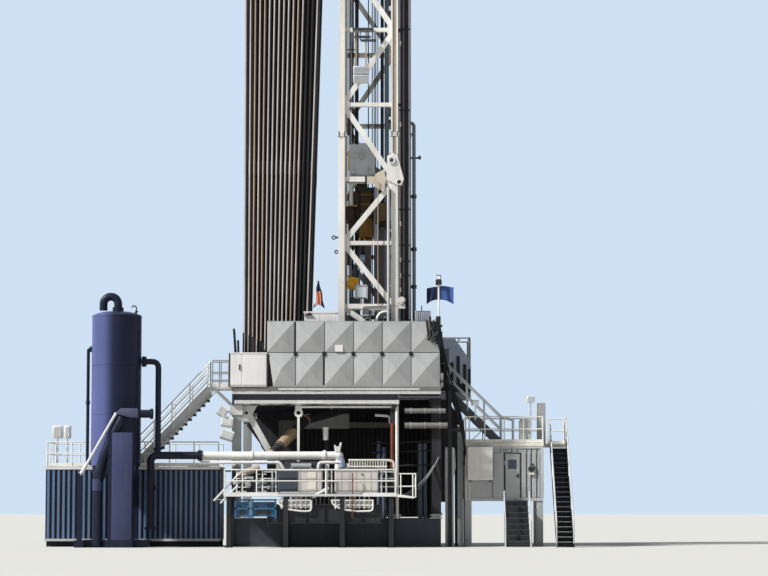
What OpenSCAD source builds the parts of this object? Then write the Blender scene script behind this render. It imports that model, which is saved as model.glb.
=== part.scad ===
// Oil drilling rig, scale model 1:2, in millimetres of the model.
// X runs along the rig, from the pipe rack side (minus) to the winch side (plus).
// Y runs across it and Z is up from the ground. The origin is on the ground under the middle
// line of the near base box, level with the well centre, and `well` leads from it to the well.

/* [Floor] */
// height of the drill floor above the ground
floor_z = 3400; // [3200:10:3600]
// length of the floor on the pipe side of the well
floor_left = 2750; // [2600:10:2900]
// length of the floor on the winch side of the well
floor_right = 1700; // [1650:10:1800]
// width of the floor across the rig
floor_w = 4550; // [4400:10:4800]
// thickness of the deck
deck_t = 95; // [60:5:120]
// depth of the girder under the pipe side
girder_h = 300; // [240:10:400]
// depth of the shallower girder under the winch side
girder_low = 150; // [100:10:200]
// height of the base boxes
base_h = 600; // [400:10:800]
// size of the posts
post_w = 190; // [150:5:240]

/* [Windwall] */
// height of the windwall
wall_h = 1400; // [1200:10:1600]
// thickness of the windwall
wall_t = 50; // [30:5:80]
// wall length on the pipe side of the well
wall_left = 2010; // [1900:10:2100]

/* [Mast] */
// height of the mast above the floor
mast_h = 21650; // [18000:50:22500]
// distance between front and rear legs, centre to centre
mast_d = 1150; // [1050:5:1250]
// front leg centre, on the pipe side of the well
mast_x = 430; // [400:5:460]
// half distance between near and far legs
mast_y = 1500; // [1400:10:1600]
// size of the square legs
leg_w = 150; // [120:5:180]
// width of the bracing bars
brace_w = 112; // [80:2:140]
// thickness of the bracing bars
brace_t = 70; // [50:2:100]
// height of the regular bracing panels
panel_h = 1655; // [1500:5:1800]

/* [Racked pipe] */
// number of pipe columns along the rig
rack_n = 16; // [8:1:18]
// number of pipe rows in each bank
rack_rows = 4; // [2:1:5]
// diameter of the pipe
pipe_d = 64; // [50:1:76]
// column pitch on the floor
rack_pitch = 88; // [84:1:96]
// column pitch at the racking board
board_pitch = 114; // [108:1:120]
// height of the racking board above the floor
board_h = 12900; // [12000:50:13500]
// length of a stand of pipe
stand_l = 14200; // [13600:50:14400]

/* [Tank and separator] */
// radius of the separator
sep_r = 522; // [450:2:600]
// height of the separator shell
sep_h = 3135; // [2800:5:3400]
// top of the mud tank deck
tank_z = 1700; // [1600:10:1800]
// length of the mud tank
tank_l = 3690; // [3400:10:3900]
// width of the mud tank
tank_w = 1500; // [1300:10:1600]

/* [Utility house] */
// length of the house
house_l = 1680; // [1600:10:1800]
// width of the house
house_w = 1200; // [1000:10:1400]
// level of the house floor
house_z = 975; // [900:5:1050]
// level of the deck on the house
house_top = 2218; // [2150:2:2260]
// wall thickness of houses
skin_t = 40; // [30:5:60]
// width of the house door
door_w = 330; // [300:5:380]
// height of the house door
door_h = 980; // [900:5:1020]

/* [Hidden] */
floor_l = floor_left + floor_right;
gird_top = floor_z - deck_t;
gird_bot = gird_top - girder_h;
half_w = floor_w / 2;
base_y = half_w - 350;
well = [0, base_y, 0];
step_x = 600;
bore_r = 235;
bore_skin = 60;
front_x = -mast_x;
rear_x = mast_d - mast_x;
mast_top = floor_z + mast_h;
shoe_h = 120;
girt_t = brace_t + 12;
leg_z = floor_z + shoe_h;
lev1 = floor_z + 1763;
lev2 = floor_z + 3159;
lev3 = floor_z + 4539;
lev_n = floor((mast_top - 500 - lev3) / panel_h);
board_z = floor_z + board_h;
rack_x = -2548;
rack_y0 = 700;
rack_dy = 130;
rack_edge = rack_y0 + (rack_rows - 1) * rack_dy;
sep_x = -5167;
sep_y = -2700;
sep_z = 1725;
goose_r = 86;
goose_z = sep_z + sep_h + 425;
tank_x = -6710;
tank_y = -2130;
house_x = 2235;
house_y = -1500;
door_x = house_x + 865;
rail_h = 535;
bar_t = 28;
post_t = 24;
tread_t = 20;
skid_x = -2850;
skid_l = 3600;
skid_y = -3350;
skid_w = 1150;
skid_z = 1110;
wall_right = floor_right - 15;
cab_x = 1080;
cab_l = 1370;
cab_y = 850;
cab_w = 1400;
cab_h = 1270;
block_z = 8640;
sheave_r = 262;
sheave_z = mast_top + 330;
line_x = sheave_r + 9.4;
land_x0 = -3240;
land_y0 = -2060;
land_w = 620;
st_n = 16;
st_x1 = land_x0;
st_x0 = st_x1 - (floor_z - tank_z) * 0.955;
st_rise = (floor_z - tank_z) / (st_n + 1);
st_run = (st_x1 - st_x0) / (st_n + 1);
st_y = land_y0;
rs_n = 11;
rs_x0 = floor_right + 160;
rs_x1 = 3060;
rs_y = -1480;
rs_w = 560;
rs_rise = (floor_z - house_top) / (rs_n + 1);
rs_run = (rs_x1 - rs_x0) / (rs_n + 1);
hs_n = 20;
hs_x = 4100;
hs_w = 380;
hs_y1 = house_y + 500;
hs_y0 = -2950;
hs_rise = house_top / (hs_n + 1);
hs_run = (hs_y1 - hs_y0) / (hs_n + 1);
hinge_x = door_x + 1;
hinge_y = house_y - 12;
hinge_zs = [house_z + 200, house_z + 820];
pin_z = 6760;
pin_r = 35;
link_tilt = 12;
run_gap = 0.4;

C_MAST = [0.86, 0.84, 0.78];
C_GREY = [0.55, 0.56, 0.55];
C_DARK = [0.17, 0.18, 0.19];
C_LIGHT = [0.72, 0.73, 0.70];
C_NAVY = [0.10, 0.13, 0.34];
C_PIPE = [0.16, 0.12, 0.10];
C_WHITE = [0.88, 0.88, 0.86];
C_SAND = [0.62, 0.50, 0.36];
C_GOLD = [0.62, 0.42, 0.10];
C_BLUE = [0.42, 0.48, 0.55];

// square bar from point a to point b, w wide in the vertical plane through it, t thick across
module bar(a, b, w, t) {
    d = b - a;
    l = norm(d);
    translate(a)
        rotate([0, acos(d[2] / l), atan2(d[1], d[0])])
            translate([-w / 2, -t / 2, 0])
                cube([w, t, l]);
}

// round bar from point a to point b
module rod(a, b, r, n = 24) {
    d = b - a;
    l = norm(d);
    translate(a)
        rotate([0, acos(d[2] / l), atan2(d[1], d[0])])
            cylinder(r = r, h = l, $fn = n);
}

// box given by its low corner and its high corner
module block(a, b) {
    translate(a)
        cube(b - a);
}

// handrail from a to b: n bays, a top rail, a middle rail and posts that stand on a and b
module rail(a, b, n, h = rail_h) {
    up = [0, 0, h - bar_t / 2];
    mid = [0, 0, h * 0.52];
    bar(a + up, b + up, bar_t, bar_t);
    bar(a + mid, b + mid, bar_t, bar_t);
    for (i = [0 : n]) {
        p = a + (b - a) * (i / n);
        translate([p[0] - post_t / 2, p[1] - post_t / 2, p[2]])
            cube([post_t, post_t, h - bar_t / 2]);
    }
}

module base_boxes() {
    color(C_GREY) translate(well)
        for (s = [-1, 1])
            block([-floor_left, s * base_y - 250, 0], [floor_right, s * base_y + 250, base_h]);
}

module base_spreaders() {
    color(C_GREY) translate(well)
        for (x = [-floor_left + 60, floor_right - 260])
            block([x, -half_w + 600, 60], [x + 200, half_w - 600, base_h - 120]);
}

module posts() {
    color(C_GREY) translate(well)
        for (s = [-1, 1]) {
            y = s * (half_w - 175);
            for (x = [-floor_left, step_x + 20])
                block([x, y - post_w / 2, base_h], [x + post_w, y + post_w / 2, gird_bot]);
            block([floor_right - post_w, y - post_w / 2, base_h],
                [floor_right, y + post_w / 2, gird_top - girder_low]);
        }
}

module diagonals() {
    color(C_GREY) translate(well)
        for (s = [-1, 1]) {
            y = s * (half_w - 220);
            difference() {
                bar([-floor_left + 210, y, gird_bot + 60], [-1130, y, base_h - 60], 130, 90);
                block([-floor_left, y - 100, gird_bot], [0, y + 100, floor_z]);
                block([-floor_left, y - 100, 0], [0, y + 100, base_h]);
                block([-floor_left, y - 100, 0], [-floor_left + post_w, y + 100, floor_z]);
            }
        }
}

module raising_struts() {
    color(C_WHITE) translate(well)
        for (s = [-1, 1]) {
            y = s * (half_w - 110);
            translate([-1335, y, 0]) {
                block([-26, -26, base_h], [26, 26, gird_bot - 240]);
                difference() {
                    translate([0, 18, gird_bot - 163])
                        rotate([90, 0, 0])
                            cylinder(r = 92, h = 36, $fn = 32);
                    translate([0, 30, gird_bot - 163])
                        rotate([90, 0, 0])
                            cylinder(r = 42, h = 60, $fn = 32);
                }
                block([-70, -18, gird_bot - 100], [70, 18, gird_bot]);
            }
        }
}

module girder(x0, x1, z0, z1, y) {
    ft = 28;
    block([x0, y - 90, z0], [x1, y + 90, z0 + ft]);
    block([x0, y - 90, z1 - ft], [x1, y + 90, z1]);
    block([x0, y - 20, z0 + ft], [x1, y + 20, z1 - ft]);
    for (x = [x0, x1 - 30])
        block([x, y - 80, z0 + ft], [x + 30, y + 80, z1 - ft]);
}

module girders() {
    color(C_LIGHT) translate(well)
        for (s = [-1, 1]) {
            y = s * (half_w - 90);
            girder(-floor_left, step_x + 20 + post_w, gird_bot, gird_top, y);
            girder(step_x + 20 + post_w, floor_right, gird_top - girder_low, gird_top, y);
        }
}

module floor_beams() {
    color(C_DARK) translate(well)
        for (x = [-floor_left + 40, -1700, -720, 480, floor_right - 160])
            block([x, -half_w + 180, gird_top - 140], [x + 120, half_w - 180, gird_top]);
}

module floor_deck() {
    color(C_GREY) translate(well)
        difference() {
            block([-floor_left, -half_w, gird_top], [floor_right, half_w, floor_z]);
            translate([0, 0, gird_top - 10])
                cylinder(r = bore_r + bore_skin, h = deck_t + 20, $fn = 64);
        }
}

module rotary_table() {
    color(C_DARK) translate(well)
        difference() {
            union() {
                translate([0, 0, gird_top - 60])
                    cylinder(r = bore_r + bore_skin - 1, h = deck_t + 60, $fn = 64);
                translate([0, 0, floor_z])
                    cylinder(r = bore_r + 130, h = 45, $fn = 64);
            }
            translate([0, 0, gird_top - 70])
                cylinder(r = bore_r, h = deck_t + 200, $fn = 64);
        }
}

module near_windwall() {
    color(C_GREY) translate(well) {
        block([-wall_left, -half_w, floor_z], [wall_right, -half_w + wall_t, floor_z + wall_h]);
    }
}

module other_windwalls() {
    color(C_GREY) translate(well) {
        block([-wall_left, half_w - wall_t, floor_z], [cab_x - 40, half_w, floor_z + wall_h]);
        block([wall_right - wall_t, -half_w + wall_t + 5, floor_z], [wall_right, rs_y - 10, floor_z + wall_h]);
        block([wall_right - wall_t, rs_y + rs_w + 10, floor_z], [wall_right, cab_y - 40, floor_z + wall_h]);
        block([-floor_left, -1400, floor_z], [-floor_left + wall_t, -860, floor_z + 700]);
        block([-floor_left, 860, floor_z], [-floor_left + wall_t, half_w, floor_z + 700]);
    }
}

module white_cabinet() {
    color(C_WHITE) translate(well)
        block([-floor_left - 60, -half_w - 20, floor_z], [-wall_left - 6, -half_w + 260, floor_z + 715]);
    color(C_WHITE) translate(well)
        block([-1220, -half_w + 200, floor_z], [-560, -half_w + 480, floor_z + 1600]);
}

module left_landing() {
    color(C_LIGHT) translate(well) {
        block([land_x0, land_y0, floor_z - 50], [-floor_left, land_y0 + land_w, floor_z]);
        for (y = [land_y0 + 10, land_y0 + land_w - 70])
            difference() {
                bar([land_x0 + 90, y + 30, floor_z - 30], [-floor_left + 20, y + 30, floor_z - 430], 60, 60);
                block([land_x0 - 100, y - 10, floor_z - 50], [-floor_left, y + 70, floor_z + 100]);
                block([-floor_left, y - 10, floor_z - 800], [-floor_left + 200, y + 70, floor_z]);
            }
    }
}

module left_stair_stringers() {
    color(C_LIGHT) translate(well)
        for (y = [st_y, st_y + land_w - 40])
            difference() {
                bar([st_x0 - 100, y + 20, tank_z - 160], [st_x1 + 60, y + 20, floor_z + 8], 180, 40);
                block([st_x1, y - 5, floor_z - 400], [st_x1 + 300, y + 45, floor_z + 200]);
                block([st_x1 - 300, y - 5, floor_z], [st_x1 + 300, y + 45, floor_z + 200]);
                block([st_x0 - 400, y - 5, tank_z - 400], [st_x0 + 400, y + 45, tank_z]);
            }
}

module left_stair_treads() {
    color(C_GREY) translate(well)
        for (i = [1 : st_n])
            translate([st_x0 + st_run * i - 55, st_y + 40, tank_z + st_rise * i - tread_t])
                cube([115, land_w - 80, tread_t]);
}

module left_stair_rails() {
    color(C_WHITE) translate(well) {
        for (y = [st_y - post_t / 2, st_y + land_w + post_t / 2])
            rail([st_x0 + 60, y, tank_z + 8], [st_x1 - 40, y, floor_z - 97], 4, rail_h + 55);
        rail([land_x0 + 16, land_y0 + 16, floor_z], [-floor_left - 90, land_y0 + 16, floor_z], 2);
    }
}

module right_stair_stringers() {
    color(C_LIGHT) translate(well)
        for (y = [rs_y, rs_y + rs_w - 40])
            difference() {
                bar([rs_x1 + 100, y + 20, house_top - 160], [rs_x0 - 60, y + 20, floor_z - 2], 160, 40);
                block([rs_x0 - 400, y - 5, floor_z - 600], [rs_x0, y + 45, floor_z + 300]);
                block([rs_x0 - 10, y - 5, floor_z], [rs_x0 + 300, y + 45, floor_z + 300]);
                block([rs_x1 - 400, y - 5, house_top - 500], [rs_x1 + 400, y + 45, house_top]);
            }
}

module right_stair_treads() {
    color(C_GREY) translate(well) {
        block([floor_right, rs_y, floor_z - 50], [rs_x0, rs_y + rs_w, floor_z]);
        for (i = [1 : rs_n])
            translate([rs_x1 - rs_run * i - 60, rs_y + 40, house_top + rs_rise * i - tread_t])
                cube([105, rs_w - 80, tread_t]);
    }
}

module right_stair_rails() {
    color(C_WHITE) translate(well)
        for (y = [rs_y - post_t / 2, rs_y + rs_w + post_t / 2])
            rail([rs_x1 - 40, y, house_top], [rs_x0 + 60, y, floor_z - 119], 3, rail_h + 50);
}

// side outline of the cabin, t inside its skin, with the slanted end that looks down the stair
module cabin_form(t, y0, y1) {
    translate([0, y1, 0])
        rotate([90, 0, 0])
            linear_extrude(height = y1 - y0)
                polygon([[cab_x + t, floor_z + 30 - t], [cab_x + cab_l - t, floor_z + 30 - t],
                    [cab_x + cab_l - t, floor_z + cab_h - 540 - t / 2],
                    [cab_x + cab_l - 350 - t / 2, floor_z + cab_h - 40 - t],
                    [cab_x + t, floor_z + cab_h - 40 - t]]);
}

module cabin_walls() {
    color(C_WHITE) translate(well)
        difference() {
            cabin_form(0, cab_y, cab_y + cab_w);
            cabin_form(skin_t, cab_y + skin_t, cab_y + cab_w - skin_t);
            block([cab_x + skin_t, cab_y + skin_t, floor_z],
                [cab_x + cab_l - skin_t, cab_y + cab_w - skin_t, floor_z + 100]);
            block([cab_x + skin_t, cab_y + skin_t, floor_z + 600],
                [cab_x + cab_l - 360, cab_y + cab_w - skin_t, floor_z + cab_h]);
            block([cab_x - 10, cab_y + 200, floor_z], [cab_x + 100, cab_y + 620, floor_z + 1010]);
            block([cab_x + 200, cab_y - 10, floor_z + 520], [cab_x + 900, cab_y + 100, floor_z + 1020]);
            block([cab_x + cab_l - 100, cab_y + 300, floor_z + 250],
                [cab_x + cab_l + 10, cab_y + 1100, floor_z + 620]);
        }
}

module cabin_roof() {
    color(C_WHITE) translate(well)
        block([cab_x - 30, cab_y - 30, floor_z + cab_h - 40],
            [cab_x + cab_l - 350, cab_y + cab_w + 30, floor_z + cab_h]);
}

module cabin_floor() {
    color(C_GREY) translate(well) {
        block([cab_x, cab_y, floor_z], [cab_x + cab_l, cab_y + cab_w, floor_z + 30]);
        for (y = [cab_y + 60, cab_y + cab_w - 160])
            block([floor_right, y, floor_z - 110], [cab_x + cab_l, y + 100, floor_z]);
    }
}

module winch() {
    color(C_MAST) translate(well) {
        for (y = [-560, 500])
            block([840, y, floor_z], [1420, y + 60, floor_z + 1250]);
        translate([1130, -500, floor_z + 720])
            rotate([-90, 0, 0])
                cylinder(r = 330, h = 1000, $fn = 48);
        block([860, -500, floor_z], [1400, 500, floor_z + 120]);
    }
}

module mast_legs() {
    color(C_MAST) translate(well)
        for (s = [-1, 1])
            for (x = [front_x, rear_x])
                block([x - leg_w / 2, s * mast_y - leg_w / 2, leg_z], [x + leg_w / 2, s * mast_y + leg_w / 2, mast_top]);
}

module mast_shoes() {
    color(C_MAST) translate(well)
        for (s = [-1, 1])
            for (x = [front_x, rear_x])
                block([x - 150, s * mast_y - 130, floor_z], [x + 150, s * mast_y + 130, leg_z]);
}

// side bracing in the plane y, between the faces of the front and rear legs
module side_bracing(y) {
    a = front_x + leg_w / 2;
    b = rear_x - leg_w / 2;
    e = 30;
    intersection() {
        block([a, y - brace_t, floor_z], [b, y + brace_t, mast_top]);
        union() {
            bar([b + e, y, floor_z + 1000], [a - e, y, lev1 - 10], brace_w, brace_t);
            bar([b + e, y, lev1 + 50], [a - e, y, lev2 - 20], brace_w, brace_t);
            bar([a - e, y, lev2 + 20], [b + e, y, lev3 - 60], brace_w, brace_t);
            for (i = [0 : lev_n]) {
                z = lev3 + panel_h * i;
                block([a, y - girt_t / 2, z - 45], [b, y + girt_t / 2, z + 45]);
                if (i < lev_n) {
                    if (i % 2 == 0)
                        bar([b + e, y, z + 60], [a - e, y, z + panel_h - 30], brace_w, brace_t);
                    else
                        bar([a - e, y, z + 30], [b + e, y, z + panel_h - 60], brace_w, brace_t);
                }
            }
            for (z = [lev1, lev2])
                block([a, y - girt_t / 2, z - 42], [b, y + girt_t / 2, z + 42]);
            block([a, y - girt_t / 2 - 4, lev3 - 70], [b, y + girt_t / 2 + 4, lev3 + 70]);
            block([a, y - girt_t / 2, mast_top - 120], [b, y + girt_t / 2, mast_top]);
        }
    }
}

module near_bracing() {
    color(C_MAST) translate(well)
        side_bracing(-mast_y);
}

module far_bracing() {
    color(C_MAST) translate(well)
        side_bracing(mast_y);
}

module rear_bracing() {
    a = mast_y - leg_w / 2;
    color(C_MAST) translate(well)
        intersection() {
            block([rear_x - 100, -a, floor_z], [rear_x + 100, a, mast_top]);
            for (i = [0 : lev_n]) {
                z = lev3 + panel_h * i;
                block([rear_x - 40, -a, z - 50], [rear_x + 40, a, z + 50]);
                if (i < lev_n)
                    for (s = [-1, 1])
                        bar([rear_x, 0, z], [rear_x, s * (a + 20), z + panel_h - 40], 70, 90);
            }
        }
}

module raising_brackets() {
    color(C_MAST) translate(well)
        for (s = [-1, 1]) {
            y = s * (mast_y + leg_w / 2 + 16);
            difference() {
                translate([rear_x + 10, y + 16, 8130])
                    rotate([90, 0, 0])
                        linear_extrude(height = 32)
                            polygon([[-190, -190], [-170, 330], [-30, 390], [60, 300],
                                [190, -180], [150, -330], [20, -300]]);
                translate([rear_x - 70, y + 40, 8357])
                    rotate([90, 0, 0])
                        cylinder(r = 45, h = 80, $fn = 32);
                translate([rear_x + 100, y + 40, 7880])
                    rotate([90, 0, 0])
                        cylinder(r = 40, h = 80, $fn = 32);
            }
        }
}

brd_x0 = rack_x - 140;
brd_x1 = front_x - leg_w / 2;

module racking_board() {
    color(C_MAST) translate(well) {
        for (s = [-1, 1]) {
            block([brd_x0, s * 1700 - 60, board_z - 130], [brd_x1 + leg_w, s * 1700 + 60, board_z]);
            block([brd_x0, s * 1700 - 60, board_z + 900], [brd_x1 + leg_w, s * 1700 + 60, board_z + 930]);
            block([brd_x0, s * 350 - 40, board_z - 130], [brd_x1, s * 350 + 40, board_z - 60]);
        }
        block([brd_x0 - 100, -1760, board_z - 130], [brd_x0, 1760, board_z]);
        block([brd_x0 - 100, -1760, board_z + 900], [brd_x0, 1760, board_z + 930]);
        for (y = [-1730, -580, 580, 1730])
            block([brd_x0 - 80, y - 15, board_z - 10], [brd_x0 - 50, y + 15, board_z + 910]);
        for (s = [-1, 1])
            for (x = [brd_x0 + 700, brd_x0 + 1400])
                block([x, s * 1700 - 15, board_z - 10], [x + 30, s * 1700 + 15, board_z + 910]);
        block([brd_x0, -310, board_z - 100], [brd_x1 - 200, 310, board_z - 70]);
        block([brd_x1 - 100, -1760, board_z - 130], [brd_x1, 1760, board_z]);
    }
}

module racking_fingers() {
    color(C_DARK) translate(well)
        for (s = [-1, 1])
            for (i = [0 : rack_n]) {
                x = rack_x - board_pitch / 2 + board_pitch * i;
                block([x - 12, min(s * 340, s * 1640), board_z - 60], [x + 12, max(s * 340, s * 1640), board_z - 10]);
            }
}

module crown_frame() {
    color(C_MAST) translate(well) {
        difference() {
            block([front_x - 250, -mast_y - 250, mast_top], [rear_x + 250, mast_y + 250, mast_top + 90]);
            block([-line_x - 60, -420, mast_top - 10], [line_x + 60, 420, mast_top + 100]);
        }
        for (s = [-1, 1])
            block([front_x, s * 480 - 40, mast_top + 90], [rear_x, s * 480 + 40, mast_top + 330]);
        rail([front_x - 220, -mast_y - 220, mast_top + 90], [rear_x + 220, -mast_y - 220, mast_top + 90], 2);
        rail([front_x - 220, mast_y + 220, mast_top + 90], [rear_x + 220, mast_y + 220, mast_top + 90], 2);
        rail([front_x - 220, -mast_y - 220, mast_top + 90], [front_x - 220, mast_y + 220, mast_top + 90], 4);
        rail([rear_x + 220, -mast_y - 220, mast_top + 90], [rear_x + 220, mast_y + 220, mast_top + 90], 4);
    }
}

module crown_sheaves() {
    color(C_DARK) translate(well) {
        for (i = [0 : 3])
            translate([0, -225 + 150 * i - 35, sheave_z])
                rotate([-90, 0, 0])
                    cylinder(r = sheave_r, h = 70, $fn = 40);
        translate([0, -440, sheave_z])
            rotate([-90, 0, 0])
                cylinder(r = 50, h = 880, $fn = 24);
    }
}

module guide_rails() {
    color(C_DARK) translate(well)
        for (s = [-1, 1])
            block([500, s * 480 - 50, floor_z + 600], [600, s * 480 + 50, mast_top]);
}

module service_duct() {
    color([0.20, 0.14, 0.12]) translate(well) {
            block([rear_x + leg_w / 2 + 60, -1420, floor_z + 1400], [rear_x + leg_w / 2 + 270, -1180, mast_top - 600]);
            for (i = [0 : lev_n])
                block([rear_x + leg_w / 2, -1500, lev3 + panel_h * i - 30],
                    [rear_x + leg_w / 2 + 70, -1300, lev3 + panel_h * i + 30]);
    }
}

module standpipe() {
    color(C_BLUE) translate(well) {
        block([1105, -1345, floor_z], [1185, -1265, 9300]);
        block([1075, -1330, 9140], [1330, -1280, 9190]);
        block([1075, -1330, 8420], [1330, -1280, 8470]);
    }
}

// one bank of pipe stands, on side s, leaning out to the pitch of the board
module stands(s) {
    for (i = [0 : rack_n - 1])
        for (j = [0 : rack_rows - 1]) {
            xb = rack_x + rack_pitch * i;
            xt = rack_x + board_pitch * i;
            k = stand_l / board_h;
            y = s * (rack_y0 + rack_dy * j);
            zb = floor_z + 0.3 + pipe_d / 2 * (xt - xb) / board_h;
            rod([xb, y, zb], [xb + (xt - xb) * k, y, zb + stand_l], pipe_d / 2, 8);
        }
}

module near_stands() {
    color(C_PIPE) translate(well)
        stands(-1);
}

module far_stands() {
    color(C_PIPE) translate(well)
        stands(1);
}

module drilling_lines() {
    color(C_DARK) translate(well)
        for (i = [0 : 3])
            for (x = [-line_x, line_x])
                rod([x, -225 + 150 * i, block_z], [x, -225 + 150 * i, sheave_z], 9, 6);
}

module travelling_block() {
    color(C_GOLD) translate(well) {
        block([-290, -290, 8250], [290, -250, 8900]);
        block([-290, 250, 8250], [290, 290, 8900]);
        for (i = [0 : 3])
            translate([0, -225 + 150 * i - 35, block_z])
                rotate([-90, 0, 0])
                    cylinder(r = sheave_r, h = 70, $fn = 40);
        translate([0, -250, block_z])
            rotate([-90, 0, 0])
                cylinder(r = 60, h = 500, $fn = 24);
        block([-140, -250, 8200], [140, 250, block_z - 200]);
    }
}

module top_drive() {
    color([0.35, 0.24, 0.10]) translate(well) {
        block([-300, -300, 6960], [290, 300, 7850]);
        block([-120, -120, 7850], [120, 120, 8200]);
        block([290, -600, 7100], [400, 600, 7600]);
        for (s = [-1, 1])
            for (t = [-1, 1])
                block([400, s * 480 + t * (90 + run_gap) - 40, 7150], [560, s * 480 + t * (90 + run_gap) + 40, 7550]);
        translate([0, 0, 6450])
            cylinder(r = 80, h = 520, $fn = 32);
        for (s = [-1, 1])
            block([-70, s * 180 - 25, 6680], [70, s * 180 + 25, 6970]);
        translate([0, -310, pin_z])
            rotate([-90, 0, 0])
                cylinder(r = pin_r, h = 620, $fn = 32);
    }
}

module elevator_links() {
    color([0.85, 0.62, 0.10]) translate(well)
        translate([0, 0, pin_z])
        rotate([0, link_tilt, 0])
        translate([0, 0, -pin_z])
        difference() {
            union() {
                for (s = [-1, 1]) {
                    rod([0, s * 250, 5850], [0, s * 250, pin_z - 40], 24, 16);
                    translate([0, s * 250 - 28, pin_z])
                        rotate([-90, 0, 0])
                            cylinder(r = 78, h = 56, $fn = 32);
                }
                block([-110, -290, 5700], [110, 290, 5880]);
            }
            translate([0, 0, 5690])
                cylinder(r = 72, h = 200, $fn = 32);
            translate([0, -300, pin_z])
                rotate([-90, 0, 0])
                    cylinder(r = pin_r + run_gap, h = 600, $fn = 32);
        }
}

module separator_shell() {
    color(C_NAVY) translate(well)
        difference() {
            translate([sep_x, sep_y, sep_z])
                cylinder(r = sep_r, h = sep_h, $fn = 64);
            translate([sep_x, sep_y, sep_z - 10])
                cylinder(r = sep_r - 16, h = sep_h + 20, $fn = 64);
        }
}

module separator_top() {
    color(C_NAVY) translate(well) {
        translate([sep_x, sep_y, sep_z + sep_h]) {
            cylinder(r = sep_r, h = 20, $fn = 64);
            translate([0, 0, 20])
                cylinder(r1 = sep_r - 30, r2 = 260, h = 75, $fn = 64);
            translate([20, 0, 20])
                cylinder(r = 118, h = 110, $fn = 32);
        }
        rod([sep_x + 20, sep_y, sep_z + sep_h + 60], [sep_x + 20, sep_y, goose_z], goose_r, 32);
        rod([sep_x + 20, sep_y, goose_z], [sep_x - 290, sep_y, goose_z], goose_r - 4, 32);
        rod([sep_x - 290, sep_y, goose_z], [sep_x - 290, sep_y, goose_z - 190], goose_r, 32);
        for (x = [20, -290])
            translate([sep_x + x, sep_y, goose_z])
                sphere(r = goose_r + 3, $fn = 32);
        translate([sep_x, sep_y, sep_z - 20])
            cylinder(r = sep_r, h = 20, $fn = 64);
    }
}

module separator_stand() {
    color(C_NAVY) translate(well) {
        for (sx = [-1, 1])
            for (sy = [-1, 1])
                block([sep_x + sx * 360 - 60, sep_y + sy * 360 - 60, 150],
                    [sep_x + sx * 360 + 60, sep_y + sy * 360 + 60, sep_z - 20]);
        for (sy = [-1, 1])
            block([sep_x - 700, sep_y + sy * 360 - 90, 0], [sep_x + 700, sep_y + sy * 360 + 90, 150]);
        block([sep_x - 150, sep_y - sep_r - 100, 0], [sep_x + 430, sep_y - 450, 150]);
        block([sep_x - 100, sep_y - sep_r - 96, 150], [sep_x + 340, sep_y - sep_r - 8, 2400]);
    }
}

module separator_pipes() {
    color(C_NAVY) translate(well) {
        block([sep_x - 645, sep_y - 33, 1500], [sep_x - 575, sep_y + 33, 4220]);
        rod([sep_x + 885, sep_y, 1925], [sep_x + 885, sep_y, 3960], 62, 24);
        rod([sep_x + sep_r + 0.3, sep_y, 3905], [sep_x + 885, sep_y, 3905], 58, 24);
        rod([sep_x + 737, sep_y, 1990], [sep_x + 737, sep_y, 400], 95, 24);
        rod([sep_x + 737, sep_y, 1250], [sep_x + 737, tank_y, 1250], 70, 24);
        rod([sep_x + 737, sep_y, 1925], [-3360, sep_y, 1925], 66, 24);
        rod([-3380, sep_y, 1925], [-3350, sep_y, 1925], 110, 24);
        for (z = [1760, 4150])
            block([sep_x - 640, sep_y - 25, z], [sep_x - sep_r - 0.3, sep_y + 25, z + 50]);
    }
}

module mud_tank() {
    color(C_BLUE) translate(well) {
        for (y = [tank_y, tank_y + tank_w - skin_t])
            block([tank_x, y, 120], [tank_x + tank_l, y + skin_t, tank_z - 60]);
        block([tank_x, tank_y + skin_t, 120], [tank_x + tank_l, tank_y + tank_w - skin_t, 160]);
        for (x = [tank_x, tank_x + tank_l - skin_t])
            block([x, tank_y + skin_t, 160], [x + skin_t, tank_y + tank_w - skin_t, tank_z - 60]);
        for (y = [tank_y + 150, tank_y + tank_w - 250])
            block([tank_x, y, 0], [tank_x + tank_l, y + 100, 120]);
    }
}

module tank_deck() {
    color(C_LIGHT) translate(well)
        block([tank_x - 20, tank_y - 20, tank_z - 60], [tank_x + tank_l + 20, tank_y + tank_w + 20, tank_z]);
}

module tank_rails() {
    color(C_WHITE) translate(well) {
        rail([tank_x + 20, tank_y + 10, tank_z], [tank_x + tank_l - 20, tank_y + 10, tank_z], 6);
        rail([tank_x + 20, tank_y + tank_w - 10, tank_z], [tank_x + tank_l - 20, tank_y + tank_w - 10, tank_z], 6);
        rail([tank_x + 20, tank_y + 60, tank_z], [tank_x + 20, tank_y + tank_w - 60, tank_z], 3);
    }
}

module shaker_skid() {
    color(C_GREY) translate(well) {
        block([skid_x, skid_y, skid_z - 50], [skid_x + skid_l, skid_y + skid_w, skid_z]);
        for (x = [skid_x + 60, skid_x + 1240, skid_x + 2420, skid_x + skid_l - 160])
            for (y = [skid_y + 30, skid_y + skid_w - 130])
                block([x, y, 0], [x + 100, y + 100, skid_z - 50]);
        block([skid_x + 900, skid_y + 60, 500], [skid_x + 3300, skid_y + 160, 900]);
    }
}

module shakers() {
    color(C_GREY) translate(well)
        for (x = [-1720, -550])
            block([x, skid_y + 120, skid_z], [x + 925, skid_y + 940, skid_z + 520]);
}

module skid_rails() {
    color(C_WHITE) translate(well) {
        rail([skid_x + 20, skid_y + 20, skid_z], [skid_x + skid_l - 20, skid_y + 20, skid_z], 5);
    }
}

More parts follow.
